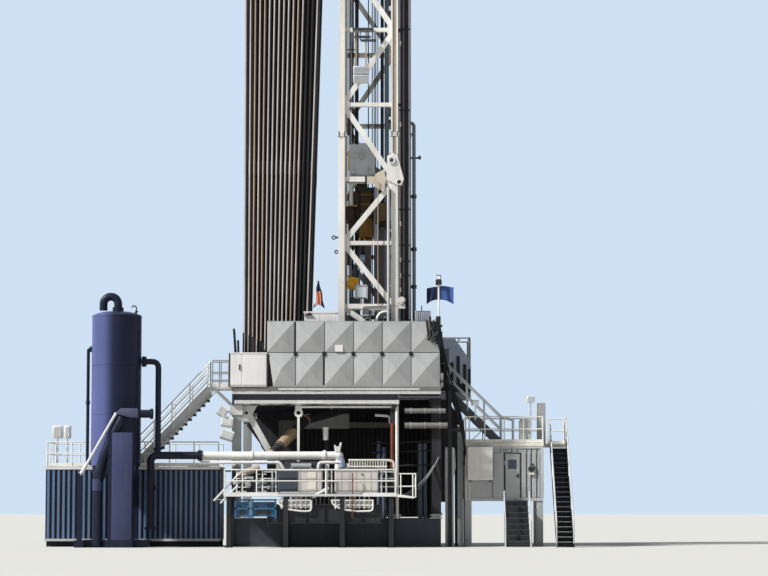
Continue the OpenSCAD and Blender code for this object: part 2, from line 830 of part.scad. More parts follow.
module flow_pipe() {
    color(C_WHITE) translate(well) {
        rod([-3407, -2480, 1922], [-470, -2480, 1922], 90, 32);
        rod([-470, -2480, 1922], [-470, -2480, skid_z + 520], 84, 32);
        translate([-470, -2480, 1922])
            sphere(r = 97, $fn = 32);
        block([-2740, -2500, 1700], [-2650, -half_w + 80, 1760]);
        block([-2740, -2520, 1730], [-2650, -2440, 1860]);
        block([-760, -2520, skid_z], [-670, -2440, 1860]);
    }
}

module flow_line() {
    color(C_SAND) translate(well) {
        rod([-330, -420, 3000], [-1200, -1350, 2720], 88, 24);
        rod([-1200, -1350, 2720], [-1900, -2290, 1960], 92, 24);
        for (p = [[-1200, -1350, 2720], [-1900, -2290, 1960]])
            translate(p)
                sphere(r = 101, $fn = 24);
        rod([-1900, -2290, 1960], [-1900, -2290, skid_z], 94, 24);
        block([-690, -830, 2840], [-630, -770, gird_top - 140]);
    }
}

module house_walls() {
    color(C_GREY) translate(well) {
        difference() {
            block([house_x, house_y, house_z], [house_x + house_l, house_y + house_w, house_top - 70]);
            block([house_x + skin_t, house_y + skin_t, house_z + skin_t],
                [house_x + house_l - skin_t, house_y + house_w - skin_t, house_top]);
            block([door_x, house_y - 10, house_z + skin_t], [door_x + door_w, house_y + 100, house_z + skin_t + door_h]);
        }
        for (x = [house_x, house_x + house_l - 140])
            for (y = [house_y, house_y + house_w - 140])
                block([x, y, 0], [x + 140, y + 140, house_z]);
    }
}

module house_deck() {
    color(C_SAND) translate(well)
        block([house_x - 20, house_y - 20, house_top - 70], [house_x + house_l + 20, house_y + house_w + 20, house_top]);
    color(C_SAND) translate(well)
        block([house_x + house_l + 20, house_y + 500, house_top - 70], [hs_x + hs_w, house_y + house_w + 20, house_top]);
}

module house_stair() {
    color(C_DARK) translate(well) {
        for (i = [1 : hs_n])
            translate([hs_x + 30, hs_y0 + hs_run * i - 50, hs_rise * i - 18])
                cube([hs_w - 60, 110, 18]);
        for (x = [hs_x, hs_x + hs_w - 30])
            difference() {
                bar([x + 15, hs_y0 - 60, -110], [x + 15, hs_y1 + 30, house_top - 30], 150, 30);
                block([x - 5, hs_y0 - 400, -400], [x + 35, hs_y0 + 400, 0]);
                block([x - 5, hs_y1, 0], [x + 35, hs_y1 + 300, house_top + 200]);
            }
    }
}

module house_units() {
    color(C_LIGHT) translate(well) {
        block([house_x + 50, house_y - 260, 1420], [house_x + 590, house_y, 2130]);
        block([house_x + 1180, house_y + 30, house_top], [house_x + 1430, house_y + 260, house_top + 480]);
        block([house_x + 1600, house_y + 560, house_top], [house_x + 1780, house_y + 760, house_top + 890]);
        for (z = hinge_zs) {
            for (t = [-40, 30])
                block([door_x - 34, house_y - 19, z + t], [door_x + 6, house_y, z + t + 10]);
            translate([hinge_x, hinge_y, z - 35])
                cylinder(r = 6, h = 70, $fn = 24);
        }
    }
}

module house_steps() {
    color(C_DARK) translate(well)
        for (i = [0 : 7])
            block([door_x - 20, house_y - 120 * (8 - i) + 30, 0],
                [door_x + door_w + 150, house_y - 120 * (7 - i) + 29.7, house_z / 8 * (i + 1)]);
}

module house_door() {
    color(C_LIGHT) translate(well)
        difference() {
            union() {
                block([door_x + 8, house_y + 2, house_z + skin_t + 6],
                    [door_x + door_w - 8, house_y + 34, house_z + skin_t + door_h - 6]);
                for (z = hinge_zs) {
                    block([hinge_x, hinge_y + 3, z - 29.6], [door_x + 70, house_y + 2, z + 29.6]);
                    translate([hinge_x, hinge_y, z - 29.6])
                        cylinder(r = 11, h = 59.2, $fn = 24);
                }
            }
            for (z = hinge_zs)
                translate([hinge_x, hinge_y, z - 40])
                    cylinder(r = 6 + run_gap, h = 80, $fn = 24);
        }
}

base_boxes();
base_spreaders();
posts();
diagonals();
raising_struts();
girders();
floor_beams();
floor_deck();
rotary_table();
near_windwall();
other_windwalls();
white_cabinet();
left_landing();
left_stair_stringers();
left_stair_treads();
left_stair_rails();
right_stair_stringers();
right_stair_treads();
right_stair_rails();
cabin_walls();
cabin_roof();
cabin_floor();
winch();
mast_legs();
mast_shoes();
near_bracing();
far_bracing();
rear_bracing();
raising_brackets();
racking_board();
racking_fingers();
crown_frame();
crown_sheaves();
guide_rails();
service_duct();
standpipe();
near_stands();
far_stands();
drilling_lines();
travelling_block();
top_drive();
elevator_links();
separator_shell();
separator_top();
separator_stand();
separator_pipes();
mud_tank();
tank_deck();
tank_rails();
shaker_skid();
shakers();
skid_rails();
flow_pipe();
flow_line();
house_walls();
house_deck();
house_door();
house_stair();
house_units();
house_steps();
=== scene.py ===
import math

import bmesh
import bpy
from bpy.props import FloatProperty, FloatVectorProperty, IntProperty, PointerProperty
from mathutils import Matrix, Vector


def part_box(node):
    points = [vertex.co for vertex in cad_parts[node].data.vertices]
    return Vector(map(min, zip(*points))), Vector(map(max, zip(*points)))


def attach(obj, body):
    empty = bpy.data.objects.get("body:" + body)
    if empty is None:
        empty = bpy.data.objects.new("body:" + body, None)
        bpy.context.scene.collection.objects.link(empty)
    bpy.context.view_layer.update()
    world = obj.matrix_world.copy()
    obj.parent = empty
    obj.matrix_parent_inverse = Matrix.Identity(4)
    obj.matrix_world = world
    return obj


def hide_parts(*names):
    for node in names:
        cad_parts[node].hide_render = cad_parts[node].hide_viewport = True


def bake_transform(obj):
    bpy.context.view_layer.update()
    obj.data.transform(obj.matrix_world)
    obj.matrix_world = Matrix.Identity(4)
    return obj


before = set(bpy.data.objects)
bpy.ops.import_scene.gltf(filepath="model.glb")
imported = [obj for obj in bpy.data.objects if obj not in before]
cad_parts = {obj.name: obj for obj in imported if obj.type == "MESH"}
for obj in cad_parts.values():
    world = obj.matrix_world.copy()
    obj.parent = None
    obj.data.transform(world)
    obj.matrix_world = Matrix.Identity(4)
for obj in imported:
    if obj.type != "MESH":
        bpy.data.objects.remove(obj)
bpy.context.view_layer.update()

bl_info = {
    "name": "Drilling rig",
    "version": (1, 0, 0),
    "blender": (4, 5, 0),
    "location": "View3D > Sidebar > Rig",
    "description": "Dresses the frame of a half-size drilling rig with its panels, pipes, lamps and paint",
    "category": "Object",
}

UP = Vector((0, 0, 1))
FLOOR = 3.4  # heights of the walked floors
TANK_DECK = 1.7
SKID_DECK = 1.11
HOUSE_DECK = 2.218
SKID_FRONT = -3.3
WELL = Vector((0, 1.925, 0))
SENSOR = 36  # mm
PHOTO_PIXELS = 768  # width of the photograph
FOCAL_PIXELS = 2475
CAMERA = Vector((0.489, -55.0, 0.778))
CAMERA_TILT = 5.126  # degrees upwards
TO_SUN = Vector((-0.9, -0.4, 0.86))
SUN_POWER = 5.6
SUN_WIDTH = 4  # degrees
SKY_GLOW = 0.26
# rows of the drilling lines across the sheaves, and heights of the mast's girts
LINE_ROWS = (-0.225, -0.075, 0.075, 0.225)
GIRTS = [5.163, 6.559, 7.939] + [7.939 + 1.655 * i for i in range(1, 11)]


# ---------------------------------------------------------------- shapes
# Places are given from the well centre on the ground; finish_piece moves each piece by WELL.

def node_box(name):
    """Low and high corner of a node, from the well centre."""
    low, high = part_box(name)
    return Vector(low) - WELL, Vector(high) - WELL


def edges_of(verts):
    """The edges of some vertices, each once and in the same order in every run."""
    return list(dict.fromkeys(e for v in verts for e in v.link_edges))


def faces_of(verts):
    """The faces of some vertices, each once and in the same order in every run."""
    return list(dict.fromkeys(f for v in verts for f in v.link_faces))


def shade(made, mat):
    """Give the faces round some new vertices a material number."""
    if mat:
        for f in faces_of(made):
            f.material_index = mat


def box(bm, lo, hi, mat=0):
    """Box between two corners."""
    a = Vector([min(p, q) for p, q in zip(lo, hi)])
    b = Vector([max(p, q) for p, q in zip(lo, hi)])
    size = b - a
    place = Matrix.Translation((a + b) / 2) @ Matrix.Diagonal((size.x, size.y, size.z, 1))
    made = bmesh.ops.create_cube(bm, size=1, matrix=place)["verts"]
    shade(made, mat)
    return made


def boxes(bm, rows):
    """Boxes, each from its row: the numbers of two corners and, if it isn't 0, the material."""
    for row in rows:
        box(bm, row[:3], row[3:6], *row[6:])


def soften(bm, made, width, steps):
    """Round the edges of a shape just made."""
    bmesh.ops.bevel(bm, geom=edges_of(made), offset=width, segments=steps, affect="EDGES", profile=0.5, material=-1)


def along(a, b):
    """Turn and place that take the Z axis to the line from a to b, through its middle."""
    a, b = Vector(a), Vector(b)
    z = (b - a).normalized()
    side = UP.cross(z)
    side = Vector((1, 0, 0)) if side.length < 1e-4 else side.normalized()
    turn = Matrix((side, z.cross(side), z)).transposed().to_4x4()
    turn.translation = (a + b) / 2
    return turn, (b - a).length


def beam(bm, a, b, wide, deep, mat=0):
    """Flat bar from a to b, wide across the level and deep square to that."""
    turn, run = along(a, b)
    shade(bmesh.ops.create_cube(bm, size=1, matrix=turn @ Matrix.Diagonal((wide, deep, run, 1)))["verts"], mat)


def rod(bm, a, b, r, n=8, mat=0):
    """Round bar from a to b."""
    turn, run = along(a, b)
    made = bmesh.ops.create_cone(bm, cap_ends=True, segments=n, radius1=r, radius2=r, depth=run, matrix=turn)
    shade(made["verts"], mat)


def rod_x(bm, a, x, *more):
    """Round bar from a, level to the given x."""
    rod(bm, a, (x, a[1], a[2]), *more)


def rod_y(bm, a, y, *more):
    """Round bar from a, level to the given y."""
    rod(bm, a, (a[0], y, a[2]), *more)


def rod_z(bm, a, z, *more):
    """Upright round bar from a to the given z."""
    rod(bm, a, (a[0], a[1], z), *more)


def rods(bm, r, n, mat, rows):
    """Round bars of one kind, each from the first three to the last three numbers of its row."""
    for row in rows:
        rod(bm, row[:3], row[3:], r, n, mat)


def tube(bm, path, r, n=8, mat=0):
    """Round pipe along a path: one ring is drawn on from point to point."""
    pts = [Vector(p) for p in path]
    axes = along(*pts[:2])[0].to_3x3()
    heads = []
    for before, p, after in zip(pts[:1] + pts, pts, pts[1:] + pts[-1:]):
        axes = axes.col[2].rotation_difference((after - before).normalized()).to_matrix() @ axes
        head = axes.to_4x4()
        head.translation = p
        heads.append(head)
    made = bmesh.ops.create_circle(bm, segments=n, radius=r, matrix=heads[0])["verts"]
    edges = edges_of(made)
    bmesh.ops.contextual_create(bm, geom=edges)
    for old, new in zip(heads, heads[1:]):
        grown = bmesh.ops.extrude_edge_only(bm, edges=edges)["geom"]
        verts = [g for g in grown if isinstance(g, bmesh.types.BMVert)]
        edges = [g for g in grown if isinstance(g, bmesh.types.BMEdge)]
        bmesh.ops.transform(bm, matrix=new @ old.inverted(), verts=verts)
        made += verts
    bmesh.ops.contextual_create(bm, geom=edges)
    bmesh.ops.recalc_face_normals(bm, faces=faces_of(made))
    shade(made, mat)


def plate(bm, outline, y0, y1, mat=0):
    """Flat plate: an outline of (x, z) points, thick from y0 to y1."""
    base = [bm.verts.new((x, y0, z)) for x, z in outline]
    grown = bmesh.ops.extrude_face_region(bm, geom=[bm.faces.new(base)])["geom"]
    lid = [g for g in grown if isinstance(g, bmesh.types.BMVert)]
    bmesh.ops.translate(bm, vec=(0, y1 - y0, 0), verts=lid)
    made = base + lid
    bmesh.ops.recalc_face_normals(bm, faces=faces_of(made))
    shade(made, mat)
    return made


def ring(bm, centre, axis, big, small, n=24, k=8, mat=0):
    """Ring of round bar about an axis."""
    old = set(bm.verts)
    start = Matrix.Translation((big, 0, 0)) @ Matrix.Rotation(math.pi / 2, 4, "X")
    hoop = bmesh.ops.create_circle(bm, segments=k, radius=small, matrix=start)["verts"]
    edges = edges_of(hoop)
    bmesh.ops.spin(bm, geom=hoop + edges, cent=(0, 0, 0), axis=(0, 0, 1), angle=math.tau, steps=n, use_merge=True)
    made = [v for v in bm.verts if v not in old]
    turn = along((0, 0, 0), axis)[0]
    turn.translation = centre
    bmesh.ops.transform(bm, matrix=turn, verts=made)
    bmesh.ops.recalc_face_normals(bm, faces=faces_of(made))
    shade(made, mat)


def bend(points, r, k=4):
    """The same path with each corner rounded to radius r by k steps."""
    pts = [Vector(p) for p in points]
    out = [pts[0]]
    for a, b, c in zip(pts, pts[1:], pts[2:]):
        u, v = (a - b), (c - b)
        cut = min(r, u.length * 0.49, v.length * 0.49)
        p, q = b + u.normalized() * cut, b + v.normalized() * cut
        for i in range(k + 1):
            t = i / k
            out.append(p * (1 - t) ** 2 + b * 2 * t * (1 - t) + q * t * t)
    out.append(pts[-1])
    return out


def mesh_of(name, bm):
    """The mesh of bm, which is freed."""
    mesh = bpy.data.meshes.new(name)
    bm.to_mesh(mesh)
    bm.free()
    return mesh


def put(name, data):
    """New object in the scene."""
    obj = bpy.data.objects.new(name, data)
    bpy.context.scene.collection.objects.link(obj)
    return obj


def lathe(profile, n, mat=0):
    """Mesh turned from (radius, height) pairs about the Z axis."""
    bm = bmesh.new()
    verts = [bm.verts.new((r, 0, z)) for r, z in profile]
    edges = [bm.edges.new(pair) for pair in zip(verts, verts[1:])]
    bmesh.ops.spin(bm, geom=verts + edges, cent=(0, 0, 0), axis=(0, 0, 1), angle=math.tau, steps=n,
                   use_merge=True)
    bmesh.ops.remove_doubles(bm, verts=bm.verts, dist=1e-5)
    bmesh.ops.recalc_face_normals(bm, faces=bm.faces)
    shade(bm.verts, mat)
    return mesh_of("turned", bm)


def stamp(bm, mesh, place):
    """Copy a mesh into bm at a place."""
    n = len(bm.verts)
    bm.from_mesh(mesh)
    bm.verts.ensure_lookup_table()
    bmesh.ops.transform(bm, matrix=place, verts=bm.verts[n:])


def finish_piece(name, bm, body, paints, smooth=0):
    """Make a piece of bm that rides on a body; smooth is the angle in degrees under which edges are soft."""
    bmesh.ops.translate(bm, vec=WELL, verts=bm.verts)
    mesh = mesh_of(name, bm)
    for one in paints:
        mesh.materials.append(paint(one))
    if smooth:
        mesh.shade_smooth()
        mesh.set_sharp_from_angle(angle=math.radians(smooth))
    piece = put(name, mesh)
    if body:
        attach(piece, body)
    return piece


# ---------------------------------------------------------------- finishes

def feed(tree, node, inputs):
    """Give inputs of a node their values, or link them where the value is a socket."""
    for key, value in inputs.items():
        if isinstance(value, bpy.types.NodeSocket):
            tree.links.new(value, node.inputs[key])
        else:
            node.inputs[key].default_value = value


def add_node(tree, kind, inputs=None, **settings):
    """New shader node with its settings and inputs."""
    node = tree.nodes.new("ShaderNode" + kind)
    for key, value in settings.items():
        setattr(node, key, value)
    feed(tree, node, inputs or {})
    return node


def weather_group():
    """Shader group: paint with worn spots, down-running dirt and a slow change of tone."""
    found = bpy.data.node_groups.get("weathered_paint")
    if found:
        return found
    g = bpy.data.node_groups.new("weathered_paint", "ShaderNodeTree")
    for way, kind, names in (("INPUT", "NodeSocketColor", ("Paint", "Worn", "Dirt")),
                             ("INPUT", "NodeSocketFloat", ("Wear", "Grime", "Scale", "Rough")),
                             ("OUTPUT", "NodeSocketColor", ("Color",)),
                             ("OUTPUT", "NodeSocketFloat", ("Roughness", "Height"))):
        for name in names:
            g.interface.new_socket(name=name, in_out=way, socket_type=kind)
    given = g.nodes.new("NodeGroupInput").outputs
    here = add_node(g, "TexCoord").outputs["Object"]

    def calc(operation, *values, clamp=False):
        return add_node(g, "Math", dict(enumerate(values)), operation=operation, use_clamp=clamp).outputs[0]

    def noise(stretch, times, detail, rough=0.6):
        at = add_node(g, "Mapping", {"Scale": stretch, "Vector": here}).outputs["Vector"]
        size = calc("MULTIPLY", given["Scale"], times)
        look = {"Vector": at, "Scale": size, "Detail": detail, "Roughness": rough}
        return add_node(g, "TexNoise", look).outputs["Fac"]

    def spread(value, lo, hi, to_lo=0.0, to_hi=1.0):
        ends = {"Value": value, "From Min": lo, "From Max": hi, "To Min": to_lo, "To Max": to_hi}
        return add_node(g, "MapRange", ends).outputs["Result"]

    def mix(factor, a, b, how="MIX"):
        both = {"Factor": factor, "A": a, "B": b}
        return add_node(g, "Mix", both, data_type="RGBA", blend_type=how).outputs["Result"]

    tone = spread(noise((1, 1, 1), 0.35, 3), 0.3, 0.7, 0.82, 1.1)
    grey = add_node(g, "CombineColor", {0: tone, 1: tone, 2: tone}).outputs["Color"]
    toned = mix(1, given["Paint"], grey, "MULTIPLY")
    streak = calc("MULTIPLY", spread(noise((3.2, 3.2, 0.22), 1.0, 5, 0.65), 0.48, 0.78), given["Grime"])
    dirty = mix(streak, toned, given["Dirt"])
    spots = noise((1, 1, 1), 2.6, 9, 0.72)
    flake = calc("MULTIPLY", spread(spots, 0.58, 0.7), given["Wear"])
    rough = calc("MULTIPLY_ADD", spots, 0.45, calc("SUBTRACT", given["Rough"], 0.2), clamp=True)
    feed(g, g.nodes.new("NodeGroupOutput"), {"Color": mix(flake, dirty, given["Worn"]), "Roughness": rough,
                                             "Height": calc("MULTIPLY_ADD", flake, -0.6, spots)})
    return g


# name: paint, worn, dirt, wear, grime, scale, rough, metal, bump
FINISHES = {
    "mast_cream": ((0.8, 0.78, 0.735), (0.36, 0.2, 0.1), (0.42, 0.34, 0.25), 0.35, 0.45, 2.2, 0.5, 0.0, 0.15),
    "windwall_grey": ((0.41, 0.41, 0.4), (0.3, 0.27, 0.23), (0.25, 0.24, 0.22), 0.3, 0.4, 2.5, 0.45, 0.15, 0.2),
    "girder_grey": ((0.34, 0.36, 0.35), (0.3, 0.2, 0.13), (0.2, 0.18, 0.15), 0.35, 0.5, 2.5, 0.5, 0.0, 0.15),
    "girder_dark": ((0.055, 0.065, 0.08), (0.16, 0.1, 0.07), (0.1, 0.09, 0.08), 0.3, 0.4, 2.5, 0.5, 0.0, 0.15),
    "flange_light": ((0.6, 0.6, 0.57), (0.4, 0.26, 0.16), (0.3, 0.26, 0.2), 0.35, 0.45, 2.5, 0.5, 0.0, 0.15),
    "black_steel": ((0.022, 0.024, 0.028), (0.12, 0.08, 0.06), (0.08, 0.07, 0.06), 0.3, 0.4, 3.0, 0.5, 0.0, 0.15),
    "pipe_brown": ((0.05, 0.042, 0.038), (0.2, 0.14, 0.1), (0.02, 0.016, 0.014), 0.3, 0.5, 4.0, 0.5, 0.0, 0.15),
    # pipe_tan: painted highlight in tan on the lit side of some front-row pipes
    "pipe_tan": ((0.32, 0.225, 0.155), (0.2, 0.12, 0.07), (0.12, 0.08, 0.06), 0.55, 0.6, 3.0, 0.45, 0.0, 0.15),
    # duct_beige: beige darkened to paint the shade the ducts under the floor lie in
    "duct_beige": ((0.17, 0.163, 0.148), (0.18, 0.14, 0.11), (0.1, 0.09, 0.08), 0.35, 0.6, 2.5, 0.6, 0.0, 0.12),
    "riser_grey": ((0.16, 0.175, 0.2), (0.16, 0.12, 0.1), (0.1, 0.09, 0.08), 0.35, 0.4, 4.0, 0.45, 0.1, 0.1),
    # pipe_bright: painted highlight on the lit side of the front-row pipes; pipe_dark: painted shade on the pipes
    # behind them and on two front columns
    "pipe_bright": ((0.39, 0.365, 0.345), (0.2, 0.15, 0.12), (0.12, 0.1, 0.09), 0.45, 0.6, 3.0, 0.45, 0.0, 0.15),
    "pipe_dark": ((0.012, 0.011, 0.011), (0.08, 0.06, 0.05), (0.01, 0.008, 0.008), 0.2, 0.5, 4.0, 0.5, 0.0, 0.15),
    "arm_grey": ((0.08, 0.09, 0.155), (0.16, 0.14, 0.13), (0.1, 0.1, 0.12), 0.25, 0.4, 3.0, 0.4, 0.0, 0.1),
    "teal_frame": ((0.02, 0.115, 0.23), (0.1, 0.09, 0.08), (0.05, 0.07, 0.09), 0.2, 0.4, 3.0, 0.4, 0.0, 0.1),
    "navy": ((0.01, 0.014, 0.04), (0.1, 0.08, 0.08), (0.05, 0.05, 0.08), 0.12, 0.3, 1.6, 0.36, 0.0, 0.06),
    "rail_white": ((0.8, 0.79, 0.74), (0.45, 0.3, 0.18), (0.45, 0.4, 0.3), 0.35, 0.35, 5.0, 0.45, 0.0, 0.08),
    "sheet_white": ((0.78, 0.76, 0.74), (0.5, 0.38, 0.3), (0.5, 0.45, 0.4), 0.2, 0.5, 2.0, 0.45, 0.0, 0.08),
    "tan_line": ((0.44, 0.31, 0.19), (0.22, 0.11, 0.06), (0.16, 0.1, 0.06), 0.6, 0.6, 4.0, 0.6, 0.0, 0.3),
    "drive_gold": ((0.2, 0.105, 0.022), (0.06, 0.04, 0.03), (0.05, 0.035, 0.025), 0.6, 0.7, 5.0, 0.5, 0.0, 0.2),
    "drive_brown": ((0.055, 0.034, 0.018), (0.03, 0.025, 0.02), (0.03, 0.025, 0.02), 0.5, 0.6, 5.0, 0.5, 0.1, 0.2),
    "elevator_yellow": ((1.0, 0.54, 0.02), (0.12, 0.08, 0.04), (0.15, 0.1, 0.04), 0.45, 0.45, 8.0, 0.42, 0.0, 0.15),
    "tank_blue": ((0.085, 0.15, 0.27), (0.28, 0.18, 0.12), (0.2, 0.18, 0.16), 0.3, 0.5, 2.2, 0.5, 0.0, 0.12),
    "steel_blue": ((0.085, 0.105, 0.145), (0.2, 0.15, 0.12), (0.1, 0.1, 0.1), 0.25, 0.3, 3.0, 0.42, 0.2, 0.1),
    "cable_brown": ((0.035, 0.024, 0.024), (0.1, 0.07, 0.06), (0.08, 0.06, 0.06), 0.3, 0.4, 5.0, 0.6, 0.0, 0.1),
    "shaker_grey": ((0.56, 0.52, 0.48), (0.3, 0.22, 0.17), (0.22, 0.18, 0.15), 0.5, 0.7, 3.0, 0.6, 0.0, 0.25),
    "house_grey": ((0.43, 0.44, 0.44), (0.28, 0.24, 0.2), (0.24, 0.23, 0.21), 0.25, 0.35, 2.0, 0.5, 0.0, 0.1),
    "frame_grey": ((0.5, 0.51, 0.5), (0.32, 0.25, 0.2), (0.28, 0.26, 0.23), 0.25, 0.35, 2.5, 0.5, 0.0, 0.1),
    "deck_cream": ((0.76, 0.72, 0.63), (0.4, 0.28, 0.18), (0.35, 0.28, 0.2), 0.35, 0.4, 2.5, 0.55, 0.0, 0.12),
    "rust_red": ((0.2, 0.05, 0.028), (0.1, 0.04, 0.02), (0.08, 0.05, 0.03), 0.5, 0.5, 6.0, 0.7, 0.0, 0.3),
    "lamp_grey": ((0.6, 0.61, 0.62), (0.4, 0.35, 0.3), (0.3, 0.28, 0.25), 0.2, 0.3, 6.0, 0.35, 0.1, 0.05),
    "rubber_black": ((0.014, 0.014, 0.015), (0.06, 0.055, 0.05), (0.1, 0.09, 0.08), 0.25, 0.35, 6.0, 0.65, 0.0, 0.1),
    "floor_plate": ((0.16, 0.155, 0.145), (0.1, 0.07, 0.05), (0.06, 0.05, 0.045), 0.5, 0.6, 2.0, 0.6, 0.1, 0.2),
    "wire_steel": ((0.07, 0.068, 0.066), (0.1, 0.08, 0.06), (0.04, 0.035, 0.03), 0.3, 0.3, 8.0, 0.4, 0.6, 0.1),
    # This dark is the curtains under the floor, and is also used as painted shade on posts, on blocks in the mast and
    # on the flow line.
    "drape_and_painted_shade": ((0.03, 0.03, 0.034), (0.06, 0.055, 0.05), (0.07, 0.06, 0.05), 0.3, 0.5, 2.5, 0.8, 0.0, 0.2),
    "flag_blue": ((0.03, 0.075, 0.26), (0.05, 0.08, 0.2), (0.1, 0.12, 0.2), 0.1, 0.2, 4.0, 0.75, 0.0, 0.1),
    "flag_navy": ((0.012, 0.02, 0.06), (0.03, 0.04, 0.08), (0.04, 0.05, 0.08), 0.1, 0.2, 4.0, 0.75, 0.0, 0.1),
    "cellar_grey": ((0.13, 0.125, 0.11), (0.08, 0.07, 0.06), (0.05, 0.045, 0.04), 0.4, 0.5, 3.0, 0.6, 0.0, 0.1),
    # tan_edge is painted shade on the mast's recessed web, on a leg edge and under the girts, and the colour of a thin
    # wire.
    "tan_edge": ((0.36, 0.29, 0.21), (0.2, 0.12, 0.07), (0.14, 0.1, 0.07), 0.5, 0.6, 3.0, 0.55, 0.0, 0.15),
    "mast_tan": ((0.55, 0.48, 0.37), (0.28, 0.17, 0.1), (0.25, 0.19, 0.13), 0.5, 0.6, 3.0, 0.5, 0.0, 0.15),
    "cable_purple": ((0.15, 0.12, 0.13), (0.14, 0.11, 0.11), (0.1, 0.08, 0.08), 0.3, 0.4, 5.0, 0.55, 0.0, 0.1),
    "pipe_metal": ((0.36, 0.35, 0.34), (0.2, 0.16, 0.13), (0.15, 0.13, 0.12), 0.4, 0.4, 5.0, 0.35, 0.5, 0.1),
    "blue_tube": ((0.42, 0.52, 0.66), (0.3, 0.28, 0.25), (0.2, 0.2, 0.2), 0.2, 0.3, 5.0, 0.35, 0.1, 0.05),
    "navy_dark": ((0.01, 0.014, 0.032), (0.1, 0.08, 0.07), (0.06, 0.06, 0.07), 0.15, 0.25, 3.0, 0.35, 0.0, 0.06),
    "navy_black": ((0.01, 0.012, 0.022), (0.1, 0.08, 0.07), (0.05, 0.05, 0.06), 0.2, 0.3, 3.0, 0.45, 0.0, 0.06),
    # navy_light: a paler copy of the navy that paints the separator's front box column and pipe collar as lit
    "navy_light": ((0.045, 0.055, 0.12), (0.14, 0.12, 0.12), (0.12, 0.12, 0.14), 0.15, 0.3, 2.5, 0.35, 0.0, 0.06),
    "hose_beige": ((0.5, 0.43, 0.33), (0.3, 0.22, 0.15), (0.25, 0.19, 0.13), 0.3, 0.5, 6.0, 0.65, 0.0, 0.1),
    "ac_beige": ((0.78, 0.745, 0.675), (0.35, 0.28, 0.2), (0.3, 0.26, 0.21), 0.2, 0.3, 2.5, 0.5, 0.0, 0.1),
    "cabin_blue": ((0.36, 0.42, 0.52), (0.3, 0.26, 0.22), (0.24, 0.24, 0.25), 0.2, 0.3, 2.5, 0.5, 0.0, 0.1),
    "rubber_grey": ((0.16, 0.165, 0.17), (0.1, 0.09, 0.08), (0.1, 0.09, 0.08), 0.25, 0.35, 6.0, 0.65, 0.0, 0.1),
    "flag_orange": ((0.62, 0.2, 0.1), (0.2, 0.08, 0.05), (0.2, 0.1, 0.06), 0.3, 0.4, 4.0, 0.75, 0.0, 0.1),
}
# Painted sheen: the navy turns paler towards the left (sun) side of the separator, fully pale left of the first x and
# back to navy by the second.
PAINTED_SHEEN = {"navy": ((0.08, 0.094, 0.225), -5.42, -5.14)}
GLASS = {"lamp_glass": (0.78, 0.84, 0.88), "window_dark": (0.05, 0.07, 0.09)}


def paint(name):
    """The material of a finish, made once."""
    found = bpy.data.materials.get(name)
    if found:
        return found
    mat = bpy.data.materials.new(name)
    mat.use_nodes = True
    tree = mat.node_tree
    shader = tree.nodes["Principled BSDF"]
    if name in GLASS:
        here = add_node(tree, "TexCoord").outputs["Object"]
        grain = add_node(tree, "TexNoise", {"Scale": 9, "Vector": here}).outputs["Fac"]
        film = add_node(tree, "MapRange", {"To Min": 0.08, "To Max": 0.3, "Value": grain}).outputs["Result"]
        feed(tree, shader, {"Base Color": (*GLASS[name], 1), "Roughness": film})
        return mat
    colour, worn, dirt, wear, grime, scale, rough, metal, bump = FINISHES[name]
    look = {"Paint": (*colour, 1), "Worn": (*worn, 1), "Dirt": (*dirt, 1), "Wear": wear, "Grime": grime,
            "Scale": scale, "Rough": rough}
    # Painted sheen: the paint blends to a paler navy towards the left side.
    if name in PAINTED_SHEEN:
        sheen_colour, start, end = PAINTED_SHEEN[name]
        here = add_node(tree, "TexCoord").outputs["Object"]
        x = add_node(tree, "SeparateXYZ", {0: here}).outputs["X"]
        ramp = add_node(tree, "MapRange", {"From Min": start, "From Max": end, "Value": x},
                        interpolation_type="SMOOTHSTEP").outputs["Result"]
        both = {"Factor": ramp, "A": (*sheen_colour, 1), "B": (*colour, 1)}
        look["Paint"] = add_node(tree, "Mix", both, data_type="RGBA").outputs["Result"]
    worked = add_node(tree, "Group", look, node_tree=weather_group()).outputs
    bumps = add_node(tree, "Bump", {"Strength": bump, "Distance": 0.01, "Height": worked["Height"]})
    feed(tree, shader, {"Base Color": worked["Color"], "Roughness": worked["Roughness"], "Metallic": metal,
                        "Normal": bumps.outputs["Normal"]})
    if sum(colour) < 0.35 and metal < 0.2:
        shader.inputs["Specular IOR Level"].default_value = 0.18
    return mat


